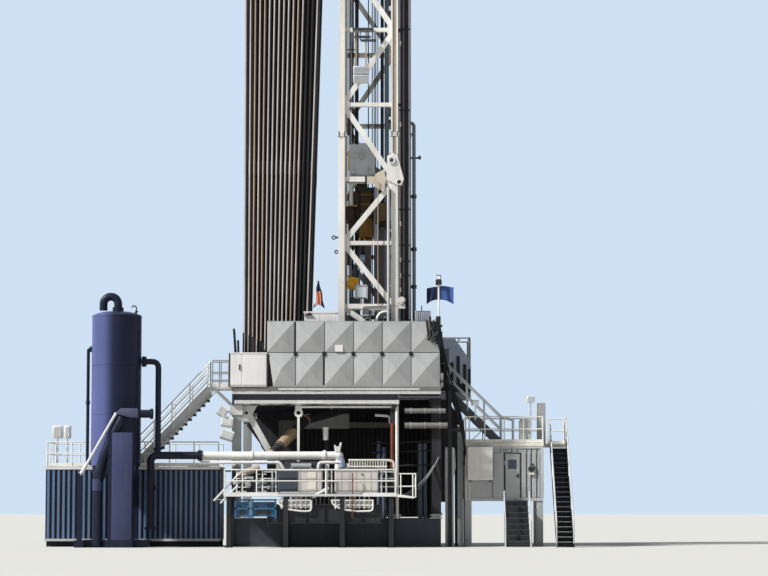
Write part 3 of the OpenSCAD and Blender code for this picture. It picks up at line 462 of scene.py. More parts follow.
NODE_FINISH = {
    "base_boxes": "girder_dark", "base_spreaders": "girder_grey", "posts": "girder_grey",
    # girders: the web is painted dark as painted shade under the flanges laid on it in floor_trim.
    "diagonals": "flange_light", "raising_struts": "rail_white", "girders": "girder_dark",
    "floor_beams": "girder_dark", "floor_deck": "floor_plate", "rotary_table": "black_steel",
    "near_windwall": "windwall_grey", "other_windwalls": "windwall_grey", "white_cabinet": "sheet_white",
    "left_landing": "flange_light", "left_stair_stringers": "frame_grey", "left_stair_treads": "girder_grey",
    "left_stair_rails": "rail_white", "right_stair_stringers": "girder_dark", "right_stair_treads": "black_steel",
    "right_stair_rails": "rail_white", "cabin_walls": "cabin_blue", "cabin_roof": "sheet_white",
    "cabin_floor": "girder_grey", "winch": "mast_cream", "mast_legs": "mast_cream", "mast_shoes": "mast_cream",
    "near_bracing": "mast_cream", "far_bracing": "mast_cream", "rear_bracing": "mast_cream",
    "raising_brackets": "mast_cream", "racking_board": "mast_cream", "racking_fingers": "black_steel",
    "crown_frame": "mast_cream", "crown_sheaves": "girder_dark", "guide_rails": "girder_dark",
    "service_duct": "cable_brown", "standpipe": "steel_blue", "near_stands": "pipe_brown",
    "far_stands": "pipe_brown", "drilling_lines": "wire_steel", "travelling_block": "lamp_grey",
    "top_drive": "drive_brown", "elevator_links": "elevator_yellow", "separator_shell": "navy",
    "separator_top": "navy", "separator_stand": "navy_dark", "separator_pipes": "navy", "mud_tank": "navy_black",
    "tank_deck": "frame_grey", "tank_rails": "rail_white", "shaker_skid": "girder_dark",
    "shakers": "shaker_grey", "skid_rails": "rail_white", "flow_pipe": "rail_white", "flow_line": "tan_line",
    "house_walls": "house_grey", "house_deck": "deck_cream", "house_door": "frame_grey",
    "house_stair": "black_steel", "house_units": "frame_grey", "house_steps": "black_steel",
}


def paint_nodes():
    """Give every carried-over node of the frame its finish."""
    for name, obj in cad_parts.items():
        for holder in obj.material_slots:
            holder.material = paint(NODE_FINISH[name])


# ---------------------------------------------------------------- parts used in several places

def rails(bm, a, b, heights, posts, r, post_r=None):
    """Rails over the line from a to b, and posts up to the first of them at some parts of the way."""
    a, b = Vector(a), Vector(b)
    for h in heights:
        rod(bm, a + UP * h, b + UP * h, r)
    for t in posts:
        p = a.lerp(b, t)
        rod(bm, p, p + UP * heights[0], post_r or r)


def handrail(bm, a, b, bays, height=0.535):
    """Round handrail from a to b with a top rail, a middle rail, posts and a toe board."""
    r = bpy.context.scene.rig_sizes.rail_radius
    rails(bm, a, b, (height - r, height * 0.52), [i / bays for i in range(bays + 1)], r)
    beam(bm, Vector(a) + UP * 0.045, Vector(b) + UP * 0.045, 0.006, 0.07)


def flange(bm, centre, axis, r, thick=0.03, bolts=8, mat=0):
    """Bolted pipe flange: a disc with bolt heads."""
    c, d = Vector(centre), Vector(axis).normalized()
    rod(bm, c - d * thick / 2, c + d * thick / 2, r, 20, mat)
    side = d.orthogonal().normalized()
    for i in range(bolts):
        p = c + Matrix.Rotation(math.tau * i / bolts, 3, d) @ side * r * 0.8
        rod(bm, p - d * (thick * 0.9), p + d * (thick * 0.9), r * 0.09, 6, mat)


def floodlight(bm, foot, aim, size):
    """Box lamp on a bracket that stands on foot and looks along aim."""
    foot, aim = Vector(foot), Vector(aim).normalized()
    side = aim.cross(UP).normalized()
    turn = Matrix((side, side.cross(aim), -aim)).transposed().to_4x4()
    centre = foot + UP * size * 1.1

    def slab(shift, wide, high, deep, mat=0):
        turn.translation = centre + shift
        made = bmesh.ops.create_cube(bm, size=1, matrix=turn @ Matrix.Diagonal((wide, high, deep, 1)))
        shade(made["verts"], mat)

    rod(bm, foot, foot + UP * size * 0.9, 0.012, 6)
    for s in (-1, 1):
        beam(bm, foot + UP * size * 0.6, centre + side * s * size * 0.62, 0.014, 0.014)
    slab(Vector(), size * 1.15, size * 0.9, size * 0.45)
    slab(aim * size * 0.235, size, size * 0.76, 0.012, 1)
    for i in range(5):
        slab(size * ((i - 2) * 0.22 * side - 0.27 * aim), 0.01, size * 0.8, size * 0.12)


def folded_panel(bm, lo, across, up, out, rise, thick):
    """Sheet panel whose face is folded into four shallow facets that meet at its middle."""
    lo, across, up, out = Vector(lo), Vector(across), Vector(up), Vector(out)
    c = lo + (across + up) / 2 + out * thick / 2
    turn = Matrix((across, up, out * thick))
    if turn.determinant() < 0:
        turn = Matrix((up, across, out * thick))
    place = turn.transposed().to_4x4()
    place.translation = c
    made = bmesh.ops.create_cube(bm, size=1, matrix=place)["verts"]
    face = max(faces_of(made), key=lambda f: (f.calc_center_median() - c).dot(out))
    bmesh.ops.poke(bm, faces=[face], offset=rise)
    return made


# ---------------------------------------------------------------- settings

class RigSizes(bpy.types.PropertyGroup):
    panel_rise: FloatProperty(name="Panel fold", description="How far the windwall panels stand out at their middle",
                              default=0.075, min=0, unit="LENGTH")
    panel_seam: FloatProperty(name="Panel seam", description="Gap between two windwall panels", default=0.014,
                              min=0, unit="LENGTH")
    joint_radius: FloatProperty(name="Tool joint radius", description="Radius of the thick ends of the pipe",
                                default=0.036, min=0.03, unit="LENGTH")
    pipe_sides: IntProperty(name="Pipe sides", description="Sides of a pipe of the rack", default=12, min=6, max=24)
    rail_radius: FloatProperty(name="Handrail radius", description="Radius of the handrail pipe", default=0.013,
                               min=0.005, unit="LENGTH")


class RigColours(bpy.types.PropertyGroup):
    sky: FloatVectorProperty(name="Backdrop", description="Colour that the camera sees behind the rig",
                             default=(0.62, 0.75, 0.9), size=3, subtype="COLOR", min=0, max=1)
    ground: FloatVectorProperty(name="Floor", description="Colour of the floor of the stage",
                                default=(0.58, 0.56, 0.51), size=3, subtype="COLOR", min=0, max=1)


# ---------------------------------------------------------------- stage

class RIG_OT_stage(bpy.types.Operator):
    """Floor, light and a camera at the angle of the photograph"""
    bl_idname = "rig.stage"
    bl_label = "Stage"

    def execute(self, context):
        scene = context.scene
        scene.view_settings.view_transform = "Standard"
        cam = bpy.data.cameras.new("camera")
        cam.sensor_width = SENSOR
        cam.lens = SENSOR * FOCAL_PIXELS / PHOTO_PIXELS
        cam.clip_end = 1000
        eye = scene.camera = put("camera", cam)
        eye.location = CAMERA + WELL
        eye.rotation_euler = (math.radians(90 + CAMERA_TILT), 0, 0)
        sun = bpy.data.lights.new("sun", "SUN")
        sun.energy = SUN_POWER
        sun.angle = math.radians(SUN_WIDTH)
        put("sun", sun).rotation_euler = TO_SUN.to_track_quat("Z", "Y").to_euler()
        scene.world = bpy.data.worlds.new("backdrop")
        scene.world.use_nodes = True
        tree = scene.world.node_tree
        tree.nodes.clear()
        ray = add_node(tree, "LightPath").outputs
        seen_by = ray["Is Camera Ray"]
        for kind in ("Is Glossy Ray", "Is Transmission Ray"):
            seen_by = add_node(tree, "Math", {0: seen_by, 1: ray[kind]}, operation="MAXIMUM").outputs[0]
        glow = add_node(tree, "Background", {"Color": (0.8, 0.88, 1.0, 1), "Strength": SKY_GLOW}).outputs[0]
        seen = add_node(tree, "Background", {"Color": (*scene.rig_colours.sky, 1)}).outputs[0]
        mix = add_node(tree, "MixShader", {"Fac": seen_by, 1: glow, 2: seen})
        add_node(tree, "OutputWorld", {"Surface": mix.outputs["Shader"]})
        bm = bmesh.new()
        bmesh.ops.create_grid(bm, x_segments=1, y_segments=1, size=400)
        floor = put("stage_floor", mesh_of("stage_floor", bm))
        mat = bpy.data.materials.new("stage_floor")
        mat.use_nodes = True
        tree = mat.node_tree
        here = add_node(tree, "TexCoord").outputs["Object"]
        grain = add_node(tree, "TexNoise", {"Scale": 0.6, "Detail": 6, "Vector": here}).outputs["Fac"]
        ground = scene.rig_colours.ground
        both = {"Factor": grain, "A": (*(0.94 * c for c in ground), 1), "B": (*ground, 1)}
        tone = add_node(tree, "Mix", both, data_type="RGBA").outputs["Result"]
        feed(tree, tree.nodes["Principled BSDF"], {"Roughness": 0.95, "Base Color": tone})
        floor.data.materials.append(mat)
        paint_nodes()
        return {"FINISHED"}


# ---------------------------------------------------------------- walls and floor

class RIG_OT_windwalls(bpy.types.Operator):
    """Cross-folded sheet panels, seams and latches round the drill floor"""
    bl_idname = "rig.windwalls"
    bl_label = "Windwalls"

    def execute(self, context):
        s = context.scene.rig_sizes
        low, high = node_box("near_windwall")
        bm = bmesh.new()
        seam, mid = s.panel_seam, 4.125
        rows = ((low.z + 0.01, mid), (mid, high.z - 0.01))
        step = (high.x - low.x) / 6
        # Dark backing (slot 1) behind the panels: painted shade, seen in the seams and at the cut corners.
        boxes(bm, [
            (low.x + 0.13, high.y - 0.02, low.z, high.x, high.y, high.z, 1),
            (low.x, high.y - 0.02, mid, low.x + 0.14, high.y, high.z, 1)])
        for row, (z0, z1) in enumerate(rows):
            for i in range(6):
                x0, x1 = low.x + step * i + seam / 2, low.x + step * (i + 1) - seam / 2
                if (row, i) in ((1, 0), (0, 1)):
                    x1 -= 0.03
                made = folded_panel(bm, (x0, high.y - 0.02, z0 + seam / 2), (x1 - x0, 0, 0),
                                    (0, 0, z1 - z0 - seam), (0, -1, 0), s.panel_rise, 0.03)
                if row == 0 and i == 0:
                    for v in made:
                        if v.co.x < x0 + 0.01:
                            v.co.x += 0.13 if v.co.z < z0 + 0.1 else 0.03
                if row == 1 and i == 5:
                    for v in made:
                        if v.co.x > x1 - 0.01 and v.co.z > z1 - 0.1:
                            v.co.x -= 0.18
        for i in range(1, 6):
            x = low.x + step * i
            latch = box(bm, (x - 0.05, low.y - 0.01, mid - 0.075), (x + 0.035, high.y - 0.02, mid + 0.02), 2)
            soften(bm, latch, 0.012, 1)
            for dx, dz in ((-0.03, -0.01), (0.0, 0.01), (0.022, -0.03), (-0.01, -0.05)):
                rod(bm, (x + dx - 0.015, low.y - 0.01, mid + dz), (x + dx + 0.018, low.y - 0.016, mid + dz - 0.022),
                    0.017, 8, 2)
        boxes(bm, [
            (low.x, low.y + 0.02, high.z - 0.012, high.x - 0.19, high.y, high.z, 3),
            (low.x + 0.13, low.y + 0.005, low.z, high.x, high.y, low.z + 0.022, 3),
            (-0.56, low.y - 0.036, 4.145, -0.39, low.y - 0.01, 4.31, 4),
            (-0.565, low.y - 0.03, 4.14, -0.55, low.y + 0.01, 4.33, 2)])
        piece = finish_piece("near_windwall_panels", bm, "rig",
                             ["windwall_grey", "girder_dark", "black_steel", "frame_grey", "sheet_white"])
        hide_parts("near_windwall")

        bm = bmesh.new()
        # Dark backings (slot 1) here and below: painted shade in the seams between the panels.
        box(bm, (-2.01, 2.19, FLOOR), (1.04, 2.212, 4.8), 1)
        wide = 0.61
        for z0, z1 in rows:
            for i in range(5):
                folded_panel(bm, (-2.01 + wide * i + seam / 2, 2.212, z0 + seam / 2), (wide - seam, 0, 0),
                             (0, 0, z1 - z0 - seam), (0, 1, 0), 0.04, 0.02)
        for y0, y1 in ((-2.22, -1.49), (-0.91, -0.05), (-0.05, 0.81)):
            box(bm, (1.635, y0, FLOOR), (1.655, y1, 4.8), 1)
            for z0, z1 in rows:
                folded_panel(bm, (1.655, y0 + seam / 2, z0 + seam / 2), (0, y1 - y0 - seam, 0),
                             (0, 0, z1 - z0 - seam), (1, 0, 0), 0.04, 0.02)
        for y0, y1 in ((-1.4, -0.86), (0.86, 1.567), (1.567, 2.275)):
            box(bm, (-2.73, y0, FLOOR), (-2.7, y1, 4.1), 1)
            folded_panel(bm, (-2.73, y0 + seam / 2, 3.41), (0, y1 - y0 - seam, 0), (0, 0, 0.68), (-1, 0, 0), 0.02, 0.01)
        piece = finish_piece("other_windwall_panels", bm, "rig", ["windwall_grey", "girder_dark"])
        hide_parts("other_windwalls")
        return {"FINISHED"}


class RIG_OT_floor_trim(bpy.types.Operator):
    """Girder flanges, pins, cabinets and the pipes and beams under the drill floor"""
    bl_idname = "rig.floor_trim"
    bl_label = "Floor trim"

    def execute(self, context):
        bm = bmesh.new()
        for s in (-1, 1):
            # Light flanges over the dark girder web: the flanges painted lit, the web painted shaded.
            boxes(bm, [
                (-2.75, s * 2.25, 3.241, 1.7, s * 2.275, 3.302), (-2.7, s * 2.25, 3.006, 0.81, s * 2.275, 3.11),
                (-2.7, s * 2.265, 3.045, 0.62, s * 2.279, 3.06, 3), (0.81, s * 2.25, 3.155, 1.7, s * 2.27, 3.185),
                (-1.76, s * 2.26, 3.325, 1.25, s * 2.279, 3.365)])
            rod_y(bm, (0.7, s * 2.2, 2.97), s * 2.279, 0.055, 16, 2)
            box(bm, (-1.28, s * 2.18, 2.945), (0.76, s * 2.24, 2.985), 3)
            # Dark skins (slot 5) on the front and sides of two posts: painted shade.
            for x0, x1, top in ((1.508, 1.704, 3.15), (0.618, 0.812, 3.0)):
                boxes(bm, [
                    (x0, s * 2.19, 0.7, x1, s * 2.2, top, 5), (x0, s * 1.98, 0.7, x0 + 0.004, s * 2.19, top, 5),
                    (x1 - 0.004, s * 1.98, 0.7, x1, s * 2.19, top, 5)])
            for x in (-2.655, 0.715, 1.605):
                for z in (0.6, 0.66):
                    box(bm, (x - 0.14, s * 2.0 - 0.04, z), (x + 0.14, s * 2.0 + s * 0.24, z + 0.02))
                for dx in (-0.105, 0.105):
                    rod_z(bm, (x + dx, s * 2.17, 0.66), 0.72, 0.014, 6, 2)
            box(bm, (-2.79, s * 1.98, 2.8), (-2.53, s * 2.22, 3.005))
            plate(bm, [(-2.56, 2.74), (-2.36, 2.74), (-2.22, 3.0), (-2.56, 3.0)], s * 2.09, s * 2.12)
            rod_y(bm, (-2.45, s * 2.0, 2.84), s * 2.14, 0.032, 12, 2)
            beam(bm, (-2.42, s * 1.9, 2.62), (-1.75, s * 1.9, 1.72), 0.08, 0.1, 4)
            rod(bm, (-2.1, s * 1.9, 2.19), (-1.83, s * 1.9, 1.83), 0.075, 14, 1)
        finish_piece("girder_trim", bm, "rig",
                     ["flange_light", "girder_grey", "black_steel", "rail_white", "girder_dark", "drape_and_painted_shade"])

        bm = bmesh.new()
        boxes(bm, [(-1.5, 1.74, 0.62, 1.68, 1.77, 3.0), (0.82, 1.74, 3.0, 1.68, 1.77, 3.16)])
        plate(bm, [(-2.42, 3.0), (-1.5, 3.0), (-1.5, 1.2), (-1.72, 1.62), (-2.42, 2.7)], 1.74, 1.77)
        for i in range(32):
            rod_z(bm, (-1.45 + i * 0.1, 1.735, 0.62), 3.0, 0.03)
        plate(bm, [(1.685, 3.15), (1.86, 3.15), (2.22, 2.64), (2.06, 2.6), (2.04, 1.62), (1.96, 1.6),
                   (1.82, 0.95), (1.685, 0.95)], -1.46, -1.43)
        box(bm, (1.685, -1.46, 0.95), (1.705, 1.6, 3.0))
        for x0, x1, z0, z1, m in ((-1.4, -0.3, 2.62, 2.95, 5), (-0.3, 0.66, 2.64, 2.76, 7),
                                  (-1.9, -1.5, 2.42, 2.8, 6)):
            box(bm, (x0, 1.2, z0), (x1, 1.32, z1), m)
        # Ducts in a darkened beige: painted shade.
        for x0, x1, z, r in ((0.93, 1.84, 2.57, 0.062), (0.93, 1.8, 2.88, 0.052)):
            rod_x(bm, (x0, -2.268, z), x1, r, 18, 7)
            for x in (x0 + 0.12, x0 + 0.42, x0 + 0.74):
                rod_x(bm, (x, -2.268, z), x + 0.02, r + 0.008, 18, 5)
        for x, r, top in ((0.38, 0.045, 2.25), (0.49, 0.055, 2.12), (1.27, 0.05, 2.2), (1.37, 0.045, 2.2)):
            rod_z(bm, (x, -1.72, 0.6), top, r, 14, 1)
        rod_z(bm, (0.665, -2.225, 1.62), 2.62, 0.034, 14, 2)
        rod_z(bm, (0.765, -2.225, 0.6), 2.98, 0.036, 12, 3)
        for x, z0, z1, r, n, m in ((-0.76, 0.6, 2.28, 0.022, 10, 4), (-0.72, 0.6, 2.28, 0.016, 10, 4),
                                   (-0.76, 2.27, 2.52, 0.058, 16, 3), (-0.76, 2.515, 2.545, 0.066, 16, 3)):
            rod_z(bm, (x, -1.9, z0), z1, r, n, m)
        for z in (2.2, 2.0, 1.7):
            rod(bm, (0.2, -1.75, z), (1.55, -1.75, z + 0.05), 0.022, 10, 4)
        tube(bm, bend([(0.62, -2.0, 2.62), (0.62, -2.0, 2.78), (0.3, -2.0, 2.8)], 0.08), 0.03, 10, 3)
        finish_piece("cellar_pipes", bm, "rig",
                     ["drape_and_painted_shade", "steel_blue", "rust_red", "rail_white", "black_steel", "girder_grey",
                      "cellar_grey", "duct_beige"], 40)

        bm = bmesh.new()
        low = node_box("white_cabinet")[0]
        for x0, x1 in ((low.x + 0.012, -2.545), (-2.53, -2.016)):
            soften(bm, box(bm, (x0, low.y - 0.012, 3.43), (x1, low.y + 0.01, 4.09)), 0.008, 2)
        boxes(bm, [
            (low.x - 0.01, low.y - 0.02, FLOOR, low.x + 0.012, low.y + 0.28, 4.12, 1),
            (-2.82, low.y - 0.02, 4.1, -2.0, low.y + 0.28, 4.125),
            (-2.6, low.y - 0.03, 3.75, -2.575, low.y - 0.01, 3.87, 1)])
        for x, wide in ((-1.21, 0.31), (-0.89, 0.37)):
            box(bm, (x, -2.085, 3.42), (x + wide, -2.07, 4.96))
        box(bm, (-1.235, -2.09, 4.985), (-0.5, -1.78, 5.02))
        plate(bm, [(-1.23, 4.93), (-1.1, 5.0), (-1.04, 4.93)], -2.12, -2.085, 1)
        finish_piece("cabinet_doors", bm, "rig", ["sheet_white", "black_steel"])
        return {"FINISHED"}


class RIG_OT_stairs(bpy.types.Operator):
    """Round handrails, stringer lips and tread brackets of the stairs"""
    bl_idname = "rig.stairs"
    bl_label = "Stairs"

    def execute(self, context):
        r = context.scene.rig_sizes.rail_radius
        bm = bmesh.new()
        for y in (-2.072, -1.428):
            rails(bm, (-4.8, y, 1.708), (-3.28, y, 3.303), (0.575, 0.4, 0.22), (0, 0.25, 0.5, 0.75, 1), r)
        rod(bm, (-3.28, -2.072, 3.878), (-3.2, -2.05, 3.978), r)
        for y in (-2.044, -1.45):
            for z in (3.97, 3.72, 3.55):
                rod_x(bm, (-3.224, y, z), -2.84, r, 8, 1)
            for x in (-3.224, -3.04, -2.84):
                rod_z(bm, (x, y, FLOOR), 3.97, r, 8, 1)
            box(bm, (-3.23, y - 0.004, FLOOR), (-2.84, y + 0.004, 3.47))
        piece = finish_piece("left_stair_handrails", bm, "rig", ["rail_white", "girder_grey"], 40)
        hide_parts("left_stair_rails")

        bm = bmesh.new()
        for y in (-2.06, -1.44):
            a, b = Vector((-4.96, y, 1.56)), Vector((-3.22, y, 3.375))
            side = (b - a).normalized().cross(Vector((0, 1, 0)))
            for k in (-0.083, 0.083):
                beam(bm, a + side * k, b + side * k, 0.05, 0.014)
        for i in range(1, 17):
            x, z = -4.8635 + 0.0955 * i, 1.7 + 0.1 * i
            boxes(bm, [
                (x + 0.065, -2.066, z - 0.165, x + 0.1, -2.0, z - 0.13),
                (x + 0.035, -2.05, z - 0.225, x + 0.095, -1.95, z - 0.175, 1),
                (x - 0.055, -2.02, z, x - 0.045, -1.48, z + 0.006)])
        plate(bm, [(-4.95, 1.7), (-4.7, 1.7), (-4.78, 1.86), (-4.95, 1.8)], -2.08, -2.06, 1)
        finish_piece("left_stair_brackets", bm, "rig", ["frame_grey", "black_steel"])

        bm = bmesh.new()
        for y in (-1.492, -0.908):
            rails(bm, (3.02, y, HOUSE_DECK), (1.92, y, 3.281), (0.585, 0.31), (0, 0.33, 0.66, 1), r * 1.15, r)
            rods(bm, r, 8, 0, [
                (1.92, y, 3.866, 1.72, y, 3.98), (1.74, y, FLOOR, 1.74, y, 3.98), (3.02, y, 2.8, 3.3, y, 2.72),
                (3.29, y, HOUSE_DECK, 3.29, y, 2.72)])
        piece = finish_piece("right_stair_handrails", bm, "rig", ["frame_grey"], 40)
        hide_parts("right_stair_rails")

        bm = bmesh.new()
        for x in (4.108, 4.466):
            rails(bm, (x, -2.93, 0.02), (x, -1.01, 2.2), (0.52, 0.28), (0, 0.33, 0.66, 1), r)
        for i in range(1, 21):
            y, z = -2.95 + 0.0929 * i, 0.1056 * i
            boxes(bm, [
                (4.13, y - 0.056, z - 0.006, 4.45, y - 0.044, z + 0.003, 1),
                (4.12, y + 0.04, z - 0.1, 4.46, y + 0.046, z + 0.002, 2)])
        for i in range(8):
            y, z = -1.47 - 0.12 * (8 - i), 0.122 * (i + 1)
            box(bm, (3.075, y - 0.004, z - 0.016), (3.585, y + 0.012, z + 0.004), 1)
        for x in (3.06, 3.6):
            rod_z(bm, (x, -2.44, 0.0), 0.56, 0.018)
            rods(bm, r, 8, 0, [(x, -2.44, 0.55, x, -1.86, 1.178), (x, -1.86, 0.7, x, -1.86, 1.178)])
        finish_piece("house_stair_handrails", bm, "rig",
                     ["frame_grey", "girder_dark", "black_steel"], 40)
        return {"FINISHED"}


# ---------------------------------------------------------------- pipe rack

class RIG_OT_racked_pipe(bpy.types.Operator):
    """Stands of drill pipe with their tool joints, leaning in the racking board"""
    bl_idname = "rig.racked_pipe"
    bl_label = "Racked pipe"

    def execute(self, context):
        s = context.scene.rig_sizes
        r, big, pitch = 0.0315, s.joint_radius, 0.088
        profile = [(0, 0), (0.03, 0.004), (0.036, 0.05), (big, 0.055), (big, 0.24), (r, 0.28)]
        for z in (4.86, 9.62):
            profile += [(r, z - 0.16), (big, z - 0.12), (big, z + 0.14), (r, z + 0.19)]
        profile += [(r, 13.9), (big, 13.95), (big, 14.19), (0.03, 14.2), (0, 14.2)]
        mesh = lathe(profile, s.pipe_sides)
        # dark: copy of the pipe all in pipe_dark, painted shade for the pipes behind the front row
        dark = mesh.copy()
        for p in dark.polygons:
            p.material_index = 2
        for side, node in ((-1, "near_stands"), (1, "far_stands")):
            # Painted highlight: faces turned towards the sun side get pipe_bright; the far stands mirror it to the
            # back.
            painted_lit_side = Vector((-0.55, side * 0.83, 0))
            for p in mesh.polygons:
                flat = Vector((p.center.x, p.center.y, 0))
                p.material_index = 1 if flat.length > 0.02 and flat.normalized().dot(painted_lit_side) > 0.8 else 0
            # tan: the same painted highlight in pipe_tan
            tan = mesh.copy()
            for p in tan.polygons:
                p.material_index = 3 if p.material_index else 0
            bm = bmesh.new()
            for i in range(16):
                up = Vector((0.026 * i / 12.9, 0, 1)).normalized()
                for j in range(4):
                    x = -2.548 + pitch * i + (pitch / 2 if j % 2 == 0 and i < 15 else 0)
                    place = UP.rotation_difference(up).to_matrix().to_4x4()
                    place.translation = x, side * (0.7 + 0.13 * j), FLOOR + 0.0005
                    # Only the front row carries the painted lit side; the rows behind and front columns 13 and 14 get
                    # the dark copy.
                    front = j == 3 and i not in (13, 14)
                    stamp(bm, dark if not front else tan if i in (2, 4, 11) else mesh, place)
            bpy.data.meshes.remove(tan)
            piece = finish_piece(node + "_pipe", bm, "rig",
                                 ["pipe_brown", "pipe_bright", "pipe_dark", "pipe_tan"], 50)
            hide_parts(node)
        bpy.data.meshes.remove(mesh)
        bpy.data.meshes.remove(dark)
        bm = bmesh.new()
        for x, z, lean in ((-2.7, 4.62, -0.06), (-2.67, 4.7, -0.1), (-2.64, 4.45, -0.04)):
            rod(bm, (x, -1.3, FLOOR), (x + lean, -1.4, z), 0.026)
        for i in range(12):
            rod(bm, (-2.57 + i * 0.06, -1.3, FLOOR), (-2.57 + i * 0.062, -1.26, 4.62 - 0.03 * i), 0.02, 6)
        finish_piece("leaning_bars", bm, "rig", ["black_steel"], 50)
        return {"FINISHED"}


# ---------------------------------------------------------------- mast

class RIG_OT_mast_trim(bpy.types.Operator):
    """Gussets, splices, brackets, hung boxes and pipes of the mast"""
    bl_idname = "rig.mast_trim"
    bl_label = "Mast trim"

    def execute(self, context):
        bm = bmesh.new()
        left, right = -0.355, 0.645
        gusset = ((0, -0.19), (0.03, -0.19), (0.09, -0.06), (0.09, 0.06), (0.03, 0.19), (0, 0.19))
        for s in (-1, 1):
            for i, z in enumerate(GIRTS[1:], 1):
                at, k = (left, 1) if i % 2 else (right, -1)
                plate(bm, [(at + k * dx, z + dz) for dx, dz in gusset], s * 1.545, s * 1.553)
                # A tan strip along the lower edge of each girt: painted shade under it.
                box(bm, (left, s * 1.545, z - 0.055), (right, s * 1.551, z - 0.043), 1)
            # Cream flange strips with a tan web strip between: the tan paints the recessed web as shaded, and the tan
            # strip on the front leg's edge paints its shaded edge.
            for x0, x1 in ((0.645, 0.676), (0.755, 0.795)):
                box(bm, (x0, s * 1.575, 8.5), (x1, s * 1.592, 25.0))
            boxes(bm, [
                (0.676, s * 1.575, 8.5, 0.755, s * 1.5785, 25.0, 1),
                (-0.37, s * 1.575, 3.55, -0.355, s * 1.588, 25.0, 1)])
            for z in (8.9, 13.6, 19.2):
                for x in (-0.43, 0.72):
                    boxes(bm, [
                        (x - 0.095, s * 1.405, z, x + 0.095, s * 1.594, z + 0.03),
                        (x - 0.095, s * 1.405, z + 0.045, x + 0.095, s * 1.594, z + 0.075)])
                    for dx in (-0.06, 0.06):
                        rod_z(bm, (x + dx, s * 1.59, z - 0.02), z + 0.1, 0.012, 6, 2)
            boxes(bm, [
                (0.795, s * 1.5, 5.126, 0.95, s * 1.57, 5.228),
                (-0.355, s * 1.541, 5.126, 0.645, s * 1.56, 5.228)])
            rod_z(bm, (0.585, s * 1.61, 3.45), 7.76, 0.03, 12, 3)
            for z in (4.4, 5.6, 6.8):
                box(bm, (0.56, s * 1.56, z), (0.66, s * 1.6, z + 0.05))
            # Black plates where the diagonals meet the girt: clamps, painted black also for the shade in the gaps of
            # that joint.
            plate(bm, [(0.28, 8.16), (0.34, 8.21), (0.49, 8.1), (0.44, 8.04)], s * 1.558, s * 1.572, 2)
            plate(bm, [(0.3, 7.8), (0.37, 7.68), (0.44, 7.75), (0.37, 7.84)], s * 1.558, s * 1.572, 2)
            # The black box paints the dark gap beside the tan plate as shade.
            boxes(bm, [
                (0.075, s * 1.541, 7.84, 0.119, s * 1.556, 8.01, 2),
                (0.119, s * 1.541, 7.842, 0.3, s * 1.562, 8.008, 4)])
            plate(bm, [(0.29, 7.78), (0.49, 7.66), (0.53, 7.94), (0.49, 8.17), (0.29, 8.06)], s * 1.562, s * 1.575, 4)
            # Black strip under the girt: painted shade.
            box(bm, (-0.355, s * 1.541, 7.868), (0.075, s * 1.552, 7.885), 2)
            ring(bm, (0.65, s * 1.625, 8.357), (0, 1, 0), 0.068, 0.016)
            ring(bm, (0.82, s * 1.625, 7.88), (0, 1, 0), 0.056, 0.014)
            rod_y(bm, (0.82, s * 1.6, 7.88), s * 1.635, 0.036, 16, 2)
            rod_y(bm, (0.65, s * 1.57, 8.357), s * 1.62, 0.03, 16, 2)
            rod_y(bm, (0.87, s * 1.545, 5.3), s * 1.6, 0.082, 24, 5)
            rod_y(bm, (0.87, s * 1.6, 5.3), s * 1.612, 0.05, 20)
            ring(bm, (-0.603, s * 1.5, 6.679), (0, 1, 0), 0.036, 0.013, 20, 8, 2)
            box(bm, (-0.57, s * 1.5 - 0.012, 6.66), (-0.5, s * 1.5 + 0.012, 6.7), 2)
        tube(bm, [(0.358, -1.6, 7.9), (0.356, -1.6, 6.4), (0.36, -1.6, 5.0)], 0.009, 6, 1)
        tube(bm, bend([(0.02, -1.572, 4.9), (0.02, -1.572, 5.17), (0.75, -1.572, 5.19)], 0.06), 0.013, 8, 3)
        finish_piece("mast_gussets", bm, "rig",
                     ["mast_cream", "tan_edge", "black_steel", "frame_grey", "mast_tan", "deck_cream"], 40)

        bm = bmesh.new()
        boxes(bm, [(-0.182, 1.4, 5.2, -0.096, 1.455, 24.9), (0.41, 1.4, 5.2, 0.485, 1.455, 24.9)])
        for x, r, m in ((-0.226, 0.02, 1), (-0.272, 0.024, 2), (-0.305, 0.008, 0), (-0.335, 0.008, 0),
                        (0.3, 0.012, 0), (0.345, 0.01, 0), (0.13, 0.012, 0), (0.22, 0.014, 2)):
            rod_z(bm, (x, 1.42, 5.2), 24.9, r, 8, m)
        for i in range(11):
            box(bm, (-0.355, 1.39, 6.1 + 1.75 * i), (-0.16, 1.43, 6.12 + 1.75 * i))
        for s in (-1, 1):
            for z in (5.0, 7.0, 9.5, 12.0, 14.5, 17.0, 19.5, 22.0, 24.5):
                boxes(bm, [
                    (0.6, s * 0.43, z, 0.64, s * 0.53, z + 0.08), (0.6, s * 0.53, z, 0.7, s * 1.43, z + 0.05)])
        # Dark blocks (slot 3) inside the mast above the floor: painted shade where its far side lies in shadow.
        for x0, x1, z0, z1 in ((-0.3, -0.05, 4.9, 5.6), (0.02, 0.2, 4.9, 7.05), (0.26, 0.52, 4.85, 7.6),
                               (0.5, 0.64, 4.85, 8.2)):
            box(bm, (x0, 1.05, z0), (x1, 1.4, z1), 3)
        finish_piece("mast_inner_lines", bm, "rig",
                     ["black_steel", "cable_brown", "frame_grey", "drape_and_painted_shade"], 40)

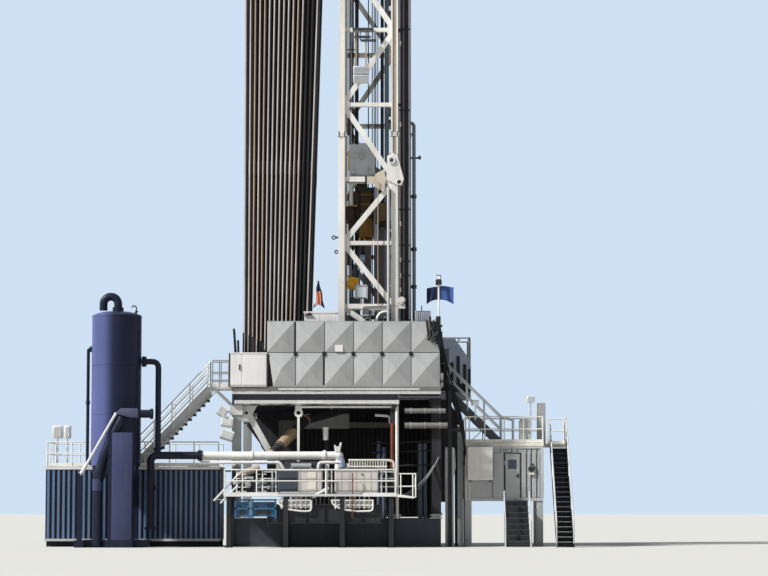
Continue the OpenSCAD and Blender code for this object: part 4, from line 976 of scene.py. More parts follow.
        bm = bmesh.new()
        near = -1.64
        for z0, z1 in ((10.24, 10.42), (10.05, 10.225)):
            soften(bm, box(bm, (-0.184, near - 0.07, z0), (0.161, near + 0.075, z1)), 0.012, 2)
            for i in range(5):
                z = z0 + 0.025 + 0.029 * i
                box(bm, (-0.165, near - 0.078, z), (0.142, near - 0.068, z + 0.01), 1)
        box(bm, (-0.16, near - 0.05, 10.21), (0.14, near + 0.05, 10.25), 2)
        for x in (-0.13, -0.105, 0.085, 0.11):
            rod_z(bm, (x, near, 10.41), 11.26, 0.009, 8, 3)
        for x0, x1, z in ((-0.2, 0.26, 11.235), (-0.16, 0.2, 11.06), (-0.02, 0.3, 10.98)):
            box(bm, (x0, near - 0.04, z), (x1, near + 0.09, z + 0.035), 2)
        for x in (-0.18, -0.03, 0.12, 0.24):
            rod_z(bm, (x, near - 0.02, 10.99), 11.27, 0.012, 6, 2)
        finish_piece("hung_louvre_box", bm, "rig",
                     ["lamp_grey", "frame_grey", "girder_dark", "tan_line"], 30)

        bm = bmesh.new()
        boxes(bm, [
            (-0.135, -0.62, 5.43, 0.115, -0.5, 5.72, 2), (-0.115, -0.632, 5.45, 0.095, -0.615, 5.68, 1),
            (-0.145, -0.64, 5.7, 0.125, -0.5, 5.73)])
        for x in (-0.14, 0.115):
            box(bm, (x - 0.012, -0.64, 5.42), (x + 0.012, -0.5, 5.73))
        rod_z(bm, (-0.01, -0.56, 5.2), 5.43, 0.018)
        rods(bm, 0.014, 8, 3, [(-0.05, -0.56, 5.72, -0.05, -0.56, 6.3), (0.03, -0.56, 5.72, 0.03, -0.56, 6.3)])
        box(bm, (-0.36, -0.6, 5.17), (0.645, -0.52, 5.21))
        for x in (-0.36, 0.6):
            box(bm, (x, -1.46, 5.16), (x + 0.04, -0.52, 5.21))
        boxes(bm, [(0.03, -1.5, 4.97, 0.16, -1.42, 5.12, 2), (0.06, -1.49, 5.12, 0.12, -1.43, 5.13)])
        ring(bm, (0.515, -1.3, 4.9), (0, 1, 0), 0.175, 0.032, 32, 10, 4)
        rod_y(bm, (0.515, -1.33, 4.9), -1.27, 0.15, 28, 5)
        rod_y(bm, (0.515, -1.345, 4.924), -1.255, 0.045, 16, 2)
        for x in (0.34, 0.69):
            beam(bm, (0.515, -1.24, 4.93), (x, -1.24, FLOOR), 0.03, 0.06, 4)
            beam(bm, (0.515, -1.36, 4.93), (x, -1.36, FLOOR), 0.03, 0.06, 4)
        for x0, z0, x1, z1 in ((-0.3, 4.6, 0.3, 5.1), (0.05, 4.6, 0.42, 5.05), (0.12, 5.02, 0.4, 4.62)):
            beam(bm, (x0, -1.2, z0), (x1, -1.2, z1), 0.03, 0.035, 4)
        boxes(bm, [(-0.32, -1.22, FLOOR, -0.28, -1.18, 4.62, 4), (0.4, -1.22, FLOOR, 0.44, -1.18, 5.07, 4)])
        finish_piece("mast_lamps_and_reel", bm, "rig",
                     ["lamp_grey", "lamp_glass", "frame_grey", "steel_blue", "rail_white", "girder_dark"], 40)
        return {"FINISHED"}


class RIG_OT_service_lines(bpy.types.Operator):
    """Cable bundles, clamps, the standpipe and the fast line"""
    bl_idname = "rig.service_lines"
    bl_label = "Service lines"

    def execute(self, context):
        bm = bmesh.new()
        for i, (x, r, m) in enumerate(((0.826, 0.028, 2), (0.875, 0.022, 3), (0.915, 0.024, 1), (0.958, 0.022, 3),
                                       (0.998, 0.022, 0), (1.04, 0.024, 2))):
            rod_z(bm, (x, -1.44, 4.8 + 0.02 * i), 24.45, r, 10, m)
            rod_z(bm, (x + 0.02, -1.16, 4.8), 24.45, r, 8, m)
        for z in (10.962, 9.165, 6.986, 6.198, 5.848, 5.542, 12.8, 14.6, 16.4, 18.2, 20.0, 21.8, 23.6):
            boxes(bm, [
                (0.825, -1.485, z - 0.05, 0.862, -1.44, z + 0.05, 4),
                (0.81, -1.475, z + 0.3, 1.065, -1.455, z + 0.33, 3)])
        finish_piece("cable_bundle", bm, "rig",
                     ["cable_brown", "cable_purple", "pipe_metal", "black_steel", "rail_white"], 40)

        bm = bmesh.new()
        y = -1.305
        tube(bm, bend([(1.145, y, FLOOR), (1.145, y, 9.22), (0.98, y, 9.22)], 0.1), 0.04, 14)
        tube(bm, bend([(1.065, y, FLOOR), (1.065, y, 8.9), (1.1, y, 9.0)], 0.05), 0.02, 10, 1)
        box(bm, (1.04, y - 0.02, 8.43), (1.3, y + 0.02, 8.47), 2)
        rod_z(bm, (1.27, y, 8.42), 8.5, 0.028, 12, 2)
        for z in (4.2, 5.62, 6.44, 7.6):
            rod_z(bm, (1.145, y, z - 0.04), z + 0.04, 0.058, 16, 2)
            box(bm, (0.8, y - 0.02, z - 0.02), (1.15, y + 0.005, z + 0.02), 2)
        piece = finish_piece("standpipe_line", bm, "rig", ["riser_grey", "frame_grey", "girder_dark"], 40)
        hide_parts("standpipe")

        bm = bmesh.new()
        low, high = node_box("drilling_lines")
        for y in LINE_ROWS:
            for x in (low.x + 0.009, high.x - 0.009):
                rod_z(bm, (x, y, low.z), high.z, 0.009)
        piece = finish_piece("reeved_lines", bm, None, ["wire_steel"], 50)
        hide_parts("drilling_lines")
        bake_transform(piece)

        bm = bmesh.new()
        rods(bm, 0.009, 6, 0, [(0.65, 0.35, 25.42, 0.84, 0.35, 4.3), (0.262, 0.35, 25.5, 0.6, 0.35, 25.5)])
        ring(bm, (0.6, 0.35, 25.44), (0, 1, 0), 0.05, 0.012, 24, 6, 1)
        rod_y(bm, (0.6, 0.31, 25.44), 0.39, 0.02, 12, 1)
        rod(bm, (-0.46, -0.36, 25.38), (-0.34, -1.4, 3.5), 0.009, 6)
        for y in LINE_ROWS:
            ring(bm, (0, y, 25.38), (0, 1, 0), 0.262, 0.02, 36, 6, 1)
        for s in (-1, 1):
            for z in (25.66, 25.41):
                rod_x(bm, (-0.65, s * 1.72, z), 0.94, 0.012, 8, 2)
        finish_piece("crown_lines", bm, "rig", ["wire_steel", "black_steel", "mast_cream"], 40)
        return {"FINISHED"}


class RIG_OT_top_drive(bpy.types.Operator):
    """Motors, pipes, cheeks and elevator of the travelling gear"""
    bl_idname = "rig.top_drive_trim"
    bl_label = "Top drive"

    def execute(self, context):
        bm = bmesh.new()
        for y in (-0.31, 0.31):
            rod_z(bm, (0.1, y, 6.86), 7.22, 0.165, 20, 1)
            rod_z(bm, (0.1, y, 6.8), 6.86, 0.12, 20)
            soften(bm, box(bm, (-0.03, y - 0.13, 7.22), (0.22, y + 0.13, 7.84)), 0.025, 2)
            for z in (7.3, 7.52, 7.74):
                box(bm, (-0.045, y - 0.14, z), (0.235, y + 0.14, z + 0.03), 1)
            rod_z(bm, (-0.24, y, 7.19), 7.5, 0.11, 20)
            for z in (7.24, 7.44):
                rod_z(bm, (-0.24, y, z), z + 0.02, 0.12, 20, 2)
        soften(bm, box(bm, (-0.06, -0.44, 6.8), (0.24, 0.44, 7.02), 1), 0.03, 3)
        boxes(bm, [(-0.375, -0.34, 7.5, -0.115, 0.34, 7.53, 3), (-0.375, -0.345, 7.2, -0.3, 0.345, 7.5, 2)])
        for s in (-1, 1):
            box(bm, (-0.1, s * 0.3, 7.84), (0.27, s * 0.4, 7.92), 2)
            tube(bm, bend([(-0.24, s * 0.33, 7.52), (-0.24, s * 0.33, 8.02), (-0.1, s * 0.2, 8.1)], 0.08), 0.045, 12, 4)
            tube(bm, bend([(0.3, s * 0.34, 7.95), (0.3, s * 0.34, 6.74)], 0.05), 0.045, 12, 5)
            for k in range(6):
                tube(bm, bend([(-0.05 + 0.05 * k, s * 0.31, 7.8), (-0.08 + 0.06 * k, s * 0.36, 7.4),
                               (-0.05 + 0.05 * k, s * 0.33, 6.9)], 0.2), 0.01, 6, 2)
            box(bm, (-0.1, s * 0.13, 6.55), (-0.05, s * 0.17, 6.95), 2)
        rod_z(bm, (0, 0, 6.3), 6.5, 0.055, 20, 5)
        rod_z(bm, (0, 0, 6.45), 6.52, 0.1, 20, 2)
        finish_piece("drive_motors", bm, "travelling",
                     ["drive_brown", "drive_gold", "black_steel", "elevator_yellow", "rail_white", "blue_tube"], 35)

        bm = bmesh.new()
        for s in (-1, 1):
            plate(bm, [(-0.12, 8.22), (0.12, 8.22), (0.15, 8.45), (0.15, 8.78), (0.08, 8.93), (-0.08, 8.93),
                       (-0.15, 8.78), (-0.15, 8.45)], s * 0.29, s * 0.312)
            rod_y(bm, (0, s * 0.29, 8.64), s * 0.34, 0.09, 20, 1)
            for x in (-0.17, 0.17):
                rod_y(bm, (x, s * 0.3, 8.34), s * 0.325, 0.025, 8, 1)
            box(bm, (-0.31, s * 0.2, 8.4), (-0.29, s * 0.312, 8.75), 2)
        for y in LINE_ROWS:
            ring(bm, (0, y, 8.64), (0, 1, 0), 0.258, 0.02, 36, 6, 1)
        box(bm, (-0.12, -0.16, 8.12), (0.12, 0.16, 8.24), 1)
        finish_piece("block_cheeks", bm, "travelling",
                     ["lamp_grey", "frame_grey", "elevator_yellow"], 35)

        bm = bmesh.new()
        for s in (-1, 1):
            rod_z(bm, (0, s * 0.29, 5.7), 5.9, 0.07, 16)
            ring(bm, (0, s * 0.25, 5.8), (1, 0, 0), 0.06, 0.024, 20, 8, 1)
            rod_z(bm, (0, s * 0.25, 5.86), 6.7, 0.028, 12, 2)
        soften(bm, box(bm, (-0.125, -0.24, 5.66), (0.125, 0.24, 5.92)), 0.035, 3)
        for z in (5.72, 5.8, 5.88):
            rod_x(bm, (-0.14, -0.06, z), 0.14, 0.016, 8, 1)
        rod_y(bm, (0.05, -0.245, 5.79), -0.265, 0.045, 16, 1)
        rod_y(bm, (-0.06, -0.245, 5.74), -0.262, 0.03, 16, 1)
        bmesh.ops.rotate(bm, cent=(0, 0, 6.76), matrix=Matrix.Rotation(math.radians(12), 3, "Y"), verts=bm.verts)
        finish_piece("elevator_clamp", bm, "links",
                     ["elevator_yellow", "black_steel", "girder_dark"], 35)
        return {"FINISHED"}


# ---------------------------------------------------------------- separator and tank

class RIG_OT_separator(bpy.types.Operator):
    """Gooseneck, dome, side pipes, bracket and struts of the separator"""
    bl_idname = "rig.separator"
    bl_label = "Separator"

    def execute(self, context):
        x, y = -5.167, -2.7
        bm = bmesh.new()
        mesh = lathe([(0.0, 4.84), (0.522, 4.84), (0.526, 4.85), (0.526, 4.868), (0.51, 4.885), (0.42, 4.925),
                      (0.28, 4.955), (0.14, 4.966), (0.0, 4.968)], 64, 2)
        stamp(bm, mesh, Matrix.Translation((x, y, 0)))
        bpy.data.meshes.remove(mesh)
        rod_z(bm, (x, y, 1.705), 1.725, 0.522, 64, 2)
        arch = [(x - 0.135 + 0.155 * math.cos(t * math.pi / 12), y, 5.13 + 0.155 * math.sin(t * math.pi / 12))
                for t in range(13)]
        tube(bm, [(x + 0.02, y, 4.95)] + arch + [(x - 0.29, y, 4.99)], 0.086, 24)
        rod_z(bm, (x + 0.02, y, 4.975), 5.02, 0.118, 28)
        flange(bm, (x + 0.02, y, 5.035), (0, 0, 1), 0.118, 0.03, 10)
        tube(bm, bend([(x + 0.4, y, 4.9), (x + 0.41, y, 5.07), (x + 0.34, y, 5.1), (x + 0.31, y, 5.05)], 0.04),
             0.013, 8, 1)
        rod(bm, (x + 0.39, y, 4.93), (x + 0.42, y, 4.99), 0.028, 8, 1)
        piece = finish_piece("separator_gooseneck", bm, "rig", ["navy_dark", "black_steel", "navy"], 40)
        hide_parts("separator_top")

        bm = bmesh.new()
        tube(bm, bend([(x - 0.53, y, 4.17), (x - 0.6, y, 4.17), (x - 0.6, y, 1.78), (x - 0.53, y, 1.78)], 0.05),
             0.034, 14)
        for z in (4.17, 1.78):
            flange(bm, (x - 0.545, y, z), (1, 0, 0), 0.062, 0.03, 6)
        rod_z(bm, (x - 0.6, y, 3.0), 3.08, 0.045, 14)
        tube(bm, bend([(x + 0.53, y, 3.905), (x + 0.885, y, 3.905), (x + 0.885, y, 1.93)], 0.14), 0.062, 18)
        for dx in (0.56, 0.605):
            flange(bm, (x + dx, y, 3.905), (1, 0, 0), 0.115, 0.03, 8)
        flange(bm, (x + 0.885, y, 2.06), (0, 0, 1), 0.1, 0.03, 8)
        tube(bm, bend([(-3.36, y, 1.925), (x + 0.737, y, 1.925), (x + 0.737, y, 0.4)], 0.16, 6), 0.08, 20, 1)
        for dx in (-3.37, -3.41):
            flange(bm, (dx, y, 1.925), (1, 0, 0), 0.112, 0.035, 8, 1)
        tube(bm, [(x + 0.737, y, 1.25), (x + 0.737, -2.14, 1.25)], 0.07, 16, 1)
        rod_z(bm, (x + 0.737, y, 0.36), 0.42, 0.12, 20, 1)
        piece = finish_piece("separator_lines", bm, "rig", ["navy_dark", "navy_black"], 40)
        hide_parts("separator_pipes")

        bm = bmesh.new()
        ring(bm, (x, y, 3.818), (0, 0, 1), 0.523, 0.006, 64, 6)
        ring(bm, (x, y, 2.78), (0, 0, 1), 0.523, 0.005, 64, 6)
        arm = plate(bm, [(-5.12, 2.8), (-5.0, 2.9), (-4.66, 2.895), (-4.64, 2.7), (-4.8, 2.7), (-5.04, 2.76)],
                    -3.3, -3.19, 1)
        soften(bm, arm, 0.012, 2)
        rod_x(bm, (-4.66, -3.0, 2.79), -4.36, 0.085, 20, 2)
        rod_x(bm, (-4.42, -3.0, 2.79), -4.36, 0.11, 20, 2)
        box(bm, (-4.86, -3.19, 2.72), (-4.66, -2.95, 2.86), 1)
        rod(bm, (-5.105, -3.26, 2.8), (-5.84, -3.26, 1.5), 0.03, 12, 3)
        rod(bm, (-5.72, -3.26, 1.71), (-5.84, -3.26, 1.5), 0.042, 12, 3)
        boxes(bm, [(-5.9, -3.3, 0.15, -5.8, -3.22, 1.54, 2), (-5.95, -3.34, 0.0, -5.75, -3.02, 0.15, 2)])
        tube(bm, bend([(-4.98, -3.2, 2.7), (-5.1, -3.2, 2.48), (-5.36, -3.2, 1.93), (-5.49, -3.2, 1.45),
                       (-5.49, -3.2, 0.03)], 0.25, 5), 0.1, 20, 2)
        # Slot 4 is the paler navy copy: painted lit look on this collar and the front box column.
        rod_z(bm, (-5.49, -3.2, 1.18), 1.42, 0.106, 20, 4)
        soften(bm, box(bm, (x - 0.02, -3.325, 0.15), (x + 0.41, -3.226, 2.39), 4), 0.02, 2)
        for s in (-1, 1):
            for t in (-1, 1):
                foot_x, foot_y = x + s * 0.36, y + t * 0.36
                box(bm, (foot_x - 0.1, foot_y - 0.1, 0.15), (foot_x + 0.1, foot_y + 0.1, 0.17), 1)
                plate(bm, [(x + s * 0.3, 1.4), (x + s * 0.42, 1.4), (x + s * 0.46, 1.7), (x + s * 0.1, 1.7)],
                      foot_y - 0.012, foot_y + 0.012, 1)
        finish_piece("separator_brackets", bm, "rig",
                     ["navy", "arm_grey", "navy_dark", "lamp_grey", "navy_light"], 40)
        return {"FINISHED"}


class RIG_OT_tank(bpy.types.Operator):
    """Ribs, handrails, hatches and lamps of the mud tank"""
    bl_idname = "rig.tank"
    bl_label = "Mud tank"

    def execute(self, context):
        x0, x1, y0, y1 = -6.71, -3.02, -2.13, -0.63
        bm = bmesh.new()
        for i in range(34):
            x = x0 + 0.03 + i * 0.1085
            for y, s in ((y0, -1), (y1, 1)):
                rib = plate(bm, [(x, 0.16), (x + 0.055, 0.16), (x + 0.055, 1.62), (x, 1.62)], y, y + s * 0.018)
                soften(bm, rib, 0.006, 1)
        for i in range(7):
            y = y0 + 0.08 + i * 0.2
            for x, s in ((x0, -1), (x1, 1)):
                box(bm, (x, y, 0.16), (x + s * 0.016, y + 0.1, 1.62))
        box(bm, (x0 - 0.02, y0 - 0.02, 0.12), (x1 + 0.02, y0 + 0.01, 0.17), 2)
        for x in (x0 + 0.6, x0 + 1.9, x0 + 3.0):
            box(bm, (x, y0 + 0.3, TANK_DECK), (x + 0.42, y0 + 0.85, 1.725), 2)
            rod_x(bm, (x + 0.12, y0 + 0.4, 1.74), x + 0.3, 0.01, 8, 3)
        boxes(bm, [
            (x0 - 0.02, y0 - 0.024, 1.638, x1 + 0.02, y0 - 0.02, TANK_DECK, 3),
            (x1 + 0.02, y0 + 0.5, 1.6, x1 + 0.2, y0 + 0.9, 1.64, 2)])
        finish_piece("tank_ribs", bm, "rig", ["tank_blue", "navy_black", "frame_grey", "sheet_white"])

        bm = bmesh.new()
        for y in (y0 + 0.01, y1 - 0.01):
            handrail(bm, (x0 + 0.02, y, TANK_DECK), (x1 - 0.02, y, TANK_DECK), 7)
        handrail(bm, (x0 + 0.02, y0 + 0.06, TANK_DECK), (x0 + 0.02, y1 - 0.06, TANK_DECK), 3)
        piece = finish_piece("tank_handrails", bm, "rig", ["rail_white"], 40)
        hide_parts("tank_rails")

        bm = bmesh.new()
        for x, wide in ((-6.48, 0.22), (-6.27, 0.14)):
            soften(bm, box(bm, (x - wide / 2, y0 + 0.02, 2.3), (x + wide / 2, y0 + 0.16, 2.58)), 0.02, 2)
            rod_z(bm, (x, y0 + 0.09, TANK_DECK), 2.32, 0.014, 8, 2)
            box(bm, (x - wide / 2 + 0.03, y0 + 0.012, 2.34), (x + wide / 2 - 0.03, y0 + 0.022, 2.54), 2)
        for x, z, turn, wide in ((-2.95, 2.86, -0.55, 0.19), (-2.85, 2.64, -0.12, 0.24), (-2.85, 2.36, -0.3, 0.27)):
            made = box(bm, (-wide / 2, -0.1, -0.09), (wide / 2, 0.08, 0.09))
            made += box(bm, (-wide / 2 + 0.02, -0.108, -0.075), (wide / 2 - 0.02, -0.098, 0.06), 2)
            spin = Matrix.Translation((x, -2.26, z)) @ Matrix.Rotation(-turn, 4, "Y") @ Matrix.Rotation(-0.3, 4, "X")
            bmesh.ops.transform(bm, matrix=spin, verts=made)
            box(bm, (x + 0.02, -2.2, z - 0.015), (-2.74, -2.17, z + 0.015), 2)
        floodlight(bm, (2.46, -1.5, 2.94), (0.35, -1, -0.3), 0.13)
        rod_z(bm, (2.46, -1.5, 2.72), 2.96, 0.014)
        floodlight(bm, (3.66, -1.42, 3.0), (0.5, -1, -0.35), 0.15)
        rod_z(bm, (3.66, -1.42, HOUSE_DECK), 3.02, 0.016)
        finish_piece("floodlights", bm, "rig", ["sheet_white", "lamp_glass", "frame_grey"], 35)
        return {"FINISHED"}


# ---------------------------------------------------------------- shakers

class RIG_OT_shakers(bpy.types.Operator):
    """Shaker boxes, their frames and baskets, the rails of the skid and the flow pipes"""
    bl_idname = "rig.shakers"
    bl_label = "Shakers"

    def execute(self, context):
        bm = bmesh.new()
        top = 1.63
        for x0, x1 in ((-1.72, -0.795), (-0.55, 0.375)):
            soften(bm, box(bm, (x0 + 0.01, -3.225, SKID_DECK), (x1 - 0.01, -2.415, top - 0.02)), 0.015, 2)
            box(bm, (x0, -3.24, top - 0.035), (x1, -2.405, top - 0.012), 1)
            for k in range(1, 6):
                x = x0 + (x1 - x0) * k / 6
                box(bm, (x - 0.004, -3.229, 1.14), (x + 0.004, -3.222, top - 0.04), 3 if k % 2 else 1)
            for k in range(3):
                y = -3.05 + 0.25 * k
                box(bm, (x0 + 0.06, y, top - 0.012), (x1 - 0.06, y + 0.18, top + 0.012), 2)
            rod_x(bm, (x0 + 0.25, -2.62, top + 0.06), x1 - 0.25, 0.07, 16, 3)
            for x in (x0 + 0.25, x1 - 0.25):
                box(bm, (x - 0.03, -2.7, top - 0.02), (x + 0.03, -2.54, top + 0.04), 3)
            box(bm, (x0 + 0.04, -3.24, 1.12), (x1 - 0.04, -3.228, 1.16), 1)
        # The girder_dark panel over the left part of the left shaker paints a cast shadow; the deck_cream panel is the
        # shaker's own colour.
        boxes(bm, [
            (-1.715, -3.238, 1.15, -1.31, -3.226, top - 0.04, 4),
            (-1.1, -3.236, 1.16, -0.93, -3.226, top - 0.06, 5)])
        rod_y(bm, (0.03, -3.24, 1.52), -3.215, 0.018, 8, 2)
        for x in (-1.86, -1.78, -0.72, -0.62, 0.42, 0.52):
            box(bm, (x, -3.2, SKID_DECK), (x + 0.03, -3.16, 1.6), 1)
        for z in (1.25, 1.42, 1.56):
            boxes(bm, [
                (-2.02, -3.17, z, -1.74, -3.14, z + 0.025, 1), (-0.78, -3.17, z, -0.57, -3.14, z + 0.025, 2),
                (0.39, -3.17, z, 0.7, -3.14, z + 0.025, 1)])
        boxes(bm, [(-2.5, -3.05, SKID_DECK, -1.8, -2.6, 1.42, 6), (-2.74, -2.32, SKID_DECK, -1.76, -2.24, 1.62, 2)])
        for x, z, r in ((-2.62, 1.35, 0.1), (-2.35, 1.3, 0.13), (-2.05, 1.4, 0.09), (-1.92, 1.25, 0.08)):
            rod_y(bm, (x, -3.16, z), -2.9, r, 16, 2)
            rod_y(bm, (x, -3.18, z), -3.14, r * 0.5, 14, 1)
        box(bm, (0.45, -2.95, SKID_DECK), (0.68, -2.5, 1.5), 2)
        piece = finish_piece("shaker_boxes", bm, "rig",
                             ["shaker_grey", "frame_grey", "black_steel", "girder_grey", "girder_dark",
                              "deck_cream", "steel_blue"])
        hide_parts("shakers")

        bm = bmesh.new()
        r = context.scene.rig_sizes.rail_radius
        rails(bm, (-2.83, -3.33, SKID_DECK), (0.73, -3.33, SKID_DECK), (0.505, 0.27), (), r)
        for x in (-2.83, -2.16, -0.72, 0.73):
            rod_z(bm, (x, -3.33, 1.05), 1.615, r * 1.2)
        for x in (-2.58, -2.46, -2.16, -2.04):
            rod_z(bm, (x, SKID_FRONT, SKID_DECK), 1.6, 0.012)
            for k in range(5):
                rod_x(bm, (x, SKID_FRONT, 1.16 + 0.09 * k), x + 0.08, 0.008, 6)
        for x in (0.84, 1.09, 1.15):
            rod_z(bm, (x, SKID_FRONT, 1.04), 1.53, r)
        for z in (1.53, 1.27):
            rods(bm, r, 8, 0, [(0.73, SKID_FRONT, z, 1.15, SKID_FRONT, z), (1.15, SKID_FRONT, z, 1.15, -2.6, z)])
        rod_z(bm, (1.15, -2.6, 1.04), 1.53, r)
        plate(bm, [(0.75, SKID_DECK), (1.17, 1.05), (1.1, 1.02), (0.75, 1.05)], -3.34, -2.55)
        for k in (0, 0.3):
            y = SKID_FRONT + k
            rods(bm, 0.014, 8, 0, [(-3.06, y, 0.97, -2.51, y, 1.56), (-2.92, y, 0.92, -2.55, y, 1.3)])
        for k in range(4):
            box(bm, (-2.98 + 0.11 * k, SKID_FRONT, 0.99 + 0.115 * k), (-2.9 + 0.11 * k, -3.0, 1.0 + 0.115 * k))
        boxes(bm, [(-2.85, -3.345, 1.111, -1.72, -3.325, 1.145, 1), (0.05, -3.345, 1.111, 0.75, -3.324, 1.135, 1)])
        piece = finish_piece("skid_handrails", bm, "rig",
                             ["rail_white", "sheet_white", "flange_light"], 40)
        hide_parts("skid_rails")

        bm = bmesh.new()
        low, high = node_box("shaker_skid")
        boxes(bm, [
            (low.x, low.y + 0.012, high.z - 0.05, high.x, high.y, high.z - 0.001),
            (low.x, low.y, high.z - 0.052, -1.72, low.y + 0.012, high.z, 1),
            (-1.72, low.y + 0.002, high.z - 0.048, 0.05, low.y + 0.012, high.z, 2),
            (0.05, low.y, high.z - 0.052, high.x, low.y + 0.012, high.z, 1)])
        for x in (low.x + 0.06, low.x + 1.24, low.x + 2.42, high.x - 0.16):
            for y in (low.y + 0.03, high.y - 0.13):
                boxes(bm, [
                    (x, y, 0.012, x + 0.1, y + 0.012, high.z - 0.05, 3),
                    (x, y + 0.088, 0.012, x + 0.1, y + 0.1, high.z - 0.05, 3),
                    (x + 0.044, y, 0.012, x + 0.056, y + 0.1, high.z - 0.05, 3),
                    (x - 0.03, y - 0.02, 0, x + 0.13, y + 0.12, 0.014, 3)])
        for z in (0.5, 0.88):
            box(bm, (low.x + 0.9, low.y + 0.06, z), (low.x + 3.3, low.y + 0.16, z + 0.02), 3)
        box(bm, (low.x + 0.9, low.y + 0.1, 0.5), (low.x + 3.3, low.y + 0.115, 0.9), 3)
        for k in range(7):
            x = low.x + 0.92 + 0.39 * k
            box(bm, (x, low.y + 0.065, 0.52), (x + 0.012, low.y + 0.1, 0.88), 3)
        piece = finish_piece("skid_frame", bm, "rig",
                             ["girder_grey", "sheet_white", "flange_light", "black_steel"])
        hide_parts("shaker_skid")

        bm = bmesh.new()
        for x0, x1 in ((-1.72, -1.02), (-0.6, 0.26)):
            for y in (SKID_FRONT, -3.2):
                tube(bm, bend([(x0, y, 1.0), (x0 + 0.02, y, 0.9), (x0 + 0.2, y, 0.79), (x0 + 0.55, y, 0.75),
                               (x1, y, 0.76), (x1, y, 1.0)], 0.08), 0.018)
                rod_x(bm, (x0, y, 0.98), x1, 0.02)
                rod_x(bm, (x0 + 0.06, y, 0.88), x1, 0.012)
            for k in range(math.ceil((x1 - x0 - 0.08) / 0.1)):
                x = x0 + 0.08 + 0.1 * k
                rod_z(bm, (x, -3.31, 0.8), 0.99, 0.009, 6, 1 if k % 2 else 0)
                rod_z(bm, (x, -3.25, 1.0), 1.07, 0.014, 6)
            box(bm, (x0 + 0.05, -3.28, 0.82), (x1 - 0.03, -2.6, 0.95), 2)
        tube(bm, [(-1.02, SKID_FRONT, 1.03), (-0.66, SKID_FRONT, 1.24)], 0.034, 12, 4)
        rod(bm, (-1.05, SKID_FRONT, 1.01), (-1.0, SKID_FRONT, 1.04), 0.045, 12, 3)
        for x0, x1 in ((-2.62, -2.3), (-2.27, -1.75)):
            for z in (0.79, 0.97):
                box(bm, (x0, -3.31, z), (x1, -3.27, z + 0.035), 5)
            for x in (x0, x1 - 0.035):
                box(bm, (x, -3.31, 0.6), (x + 0.035, -3.27, 1.0), 5)
            boxes(bm, [
                (x0 + 0.03, -3.26, 0.64, x1 - 0.03, -2.7, 0.95, 5),
                (x0 + 0.1, -3.265, 0.68, x1 - 0.1, -3.255, 0.86, 6)])
        rod_z(bm, (-0.17, -3.338, 0.62), 1.54, 0.011, 8, 7)
        finish_piece("skid_baskets", bm, "rig",
                     ["rail_white", "frame_grey", "shaker_grey", "black_steel", "lamp_grey", "teal_frame",
                      "girder_dark", "rust_red"], 40)

        bm = bmesh.new()
        run = bend([(-3.407, -2.48, 1.922), (-0.44, -2.48, 1.922), (-0.4, -2.48, 1.62)], 0.17, 8)
        tube(bm, run, 0.09, 24)
        tube(bm, run[5:], 0.0925, 24, 4)
        flange(bm, (-0.77, -2.48, 1.922), (1, 0, 0), 0.118, 0.05, 10)
        for x in (-3.37, -2.3):
            flange(bm, (x, -2.48, 1.922), (1, 0, 0), 0.112, 0.035, 10)
        tube(bm, bend([(-3.4, -2.7, 1.775), (-1.7, -2.7, 1.775), (-1.6, -2.7, 1.6)], 0.08), 0.034, 14)
        tube(bm, bend([(-0.9, -2.7, 1.6), (-0.88, -2.7, 1.775), (-0.42, -2.7, 1.775)], 0.06), 0.034, 14)
        rod_z(bm, (-0.4, -2.48, 1.6), 1.68, 0.102, 24, 1)
        boxes(bm, [(-1.62, -2.6, 1.64, -0.8, -2.4, 1.8, 2), (-0.53, -2.56, 2.0, -0.44, -2.5, 2.12)])
        rod(bm, (-0.46, -2.53, 2.0), (-0.42, -2.53, 2.2), 0.022, 10)
        rod(bm, (-0.53, -2.53, 2.0), (-0.55, -2.53, 2.15), 0.018, 10)
        for x in (-2.695, -0.715):
            box(bm, (x - 0.05, -2.53, 1.82), (x + 0.05, -2.42, 1.86), 3)
        finish_piece("flow_pipe_run", bm, "rig",
                     ["sheet_white", "tank_blue", "girder_dark", "frame_grey", "blue_tube"], 40)

        bm = bmesh.new()
        for z in (1.68, 1.82):
            rods(bm, 0.022, 10, 0, [(-0.26, -2.9, z, 0.55, -2.9, z), (-0.26, -2.6, z, 0.55, -2.6, z)])
        for k in range(15):
            box(bm, (-0.25 + 0.055 * k, -2.91, 1.64), (-0.228 + 0.055 * k, -2.6, 1.8))
        tube(bm, bend([(0.55, -2.75, 1.82), (0.7, -2.75, 1.8), (0.72, -2.75, 1.14)], 0.08), 0.03, 12)
        for k in range(22):
            x = -2.56 + 0.02 * k
            rod(bm, (x, -2.92, 1.5 + 0.008 * k), (x + 0.012, -2.92, 1.505 + 0.008 * k), 0.075, 14, 1)
        rod(bm, (-2.57, -2.92, 1.49), (-2.12, -2.92, 1.67), 0.066, 14, 1)
        box(bm, (-2.45, -2.98, 1.42), (-2.25, -2.86, 1.48), 2)
        finish_piece("manifold", bm, "rig", ["deck_cream", "hose_beige", "frame_grey"], 40)

        bm = bmesh.new()
        p, q, w = Vector((-0.33, -0.42, 3.0)), Vector((-1.2, -1.35, 2.72)), Vector((-1.9, -2.29, 1.96))
        down = (w - q).normalized()
        for k in range(13):
            c = q.lerp(w, 0.36 + 0.42 * (k + 0.5) / 13)
            rod(bm, c - down * 0.024, c + down * 0.024, 0.11 + 0.007 * (k % 3), 18)
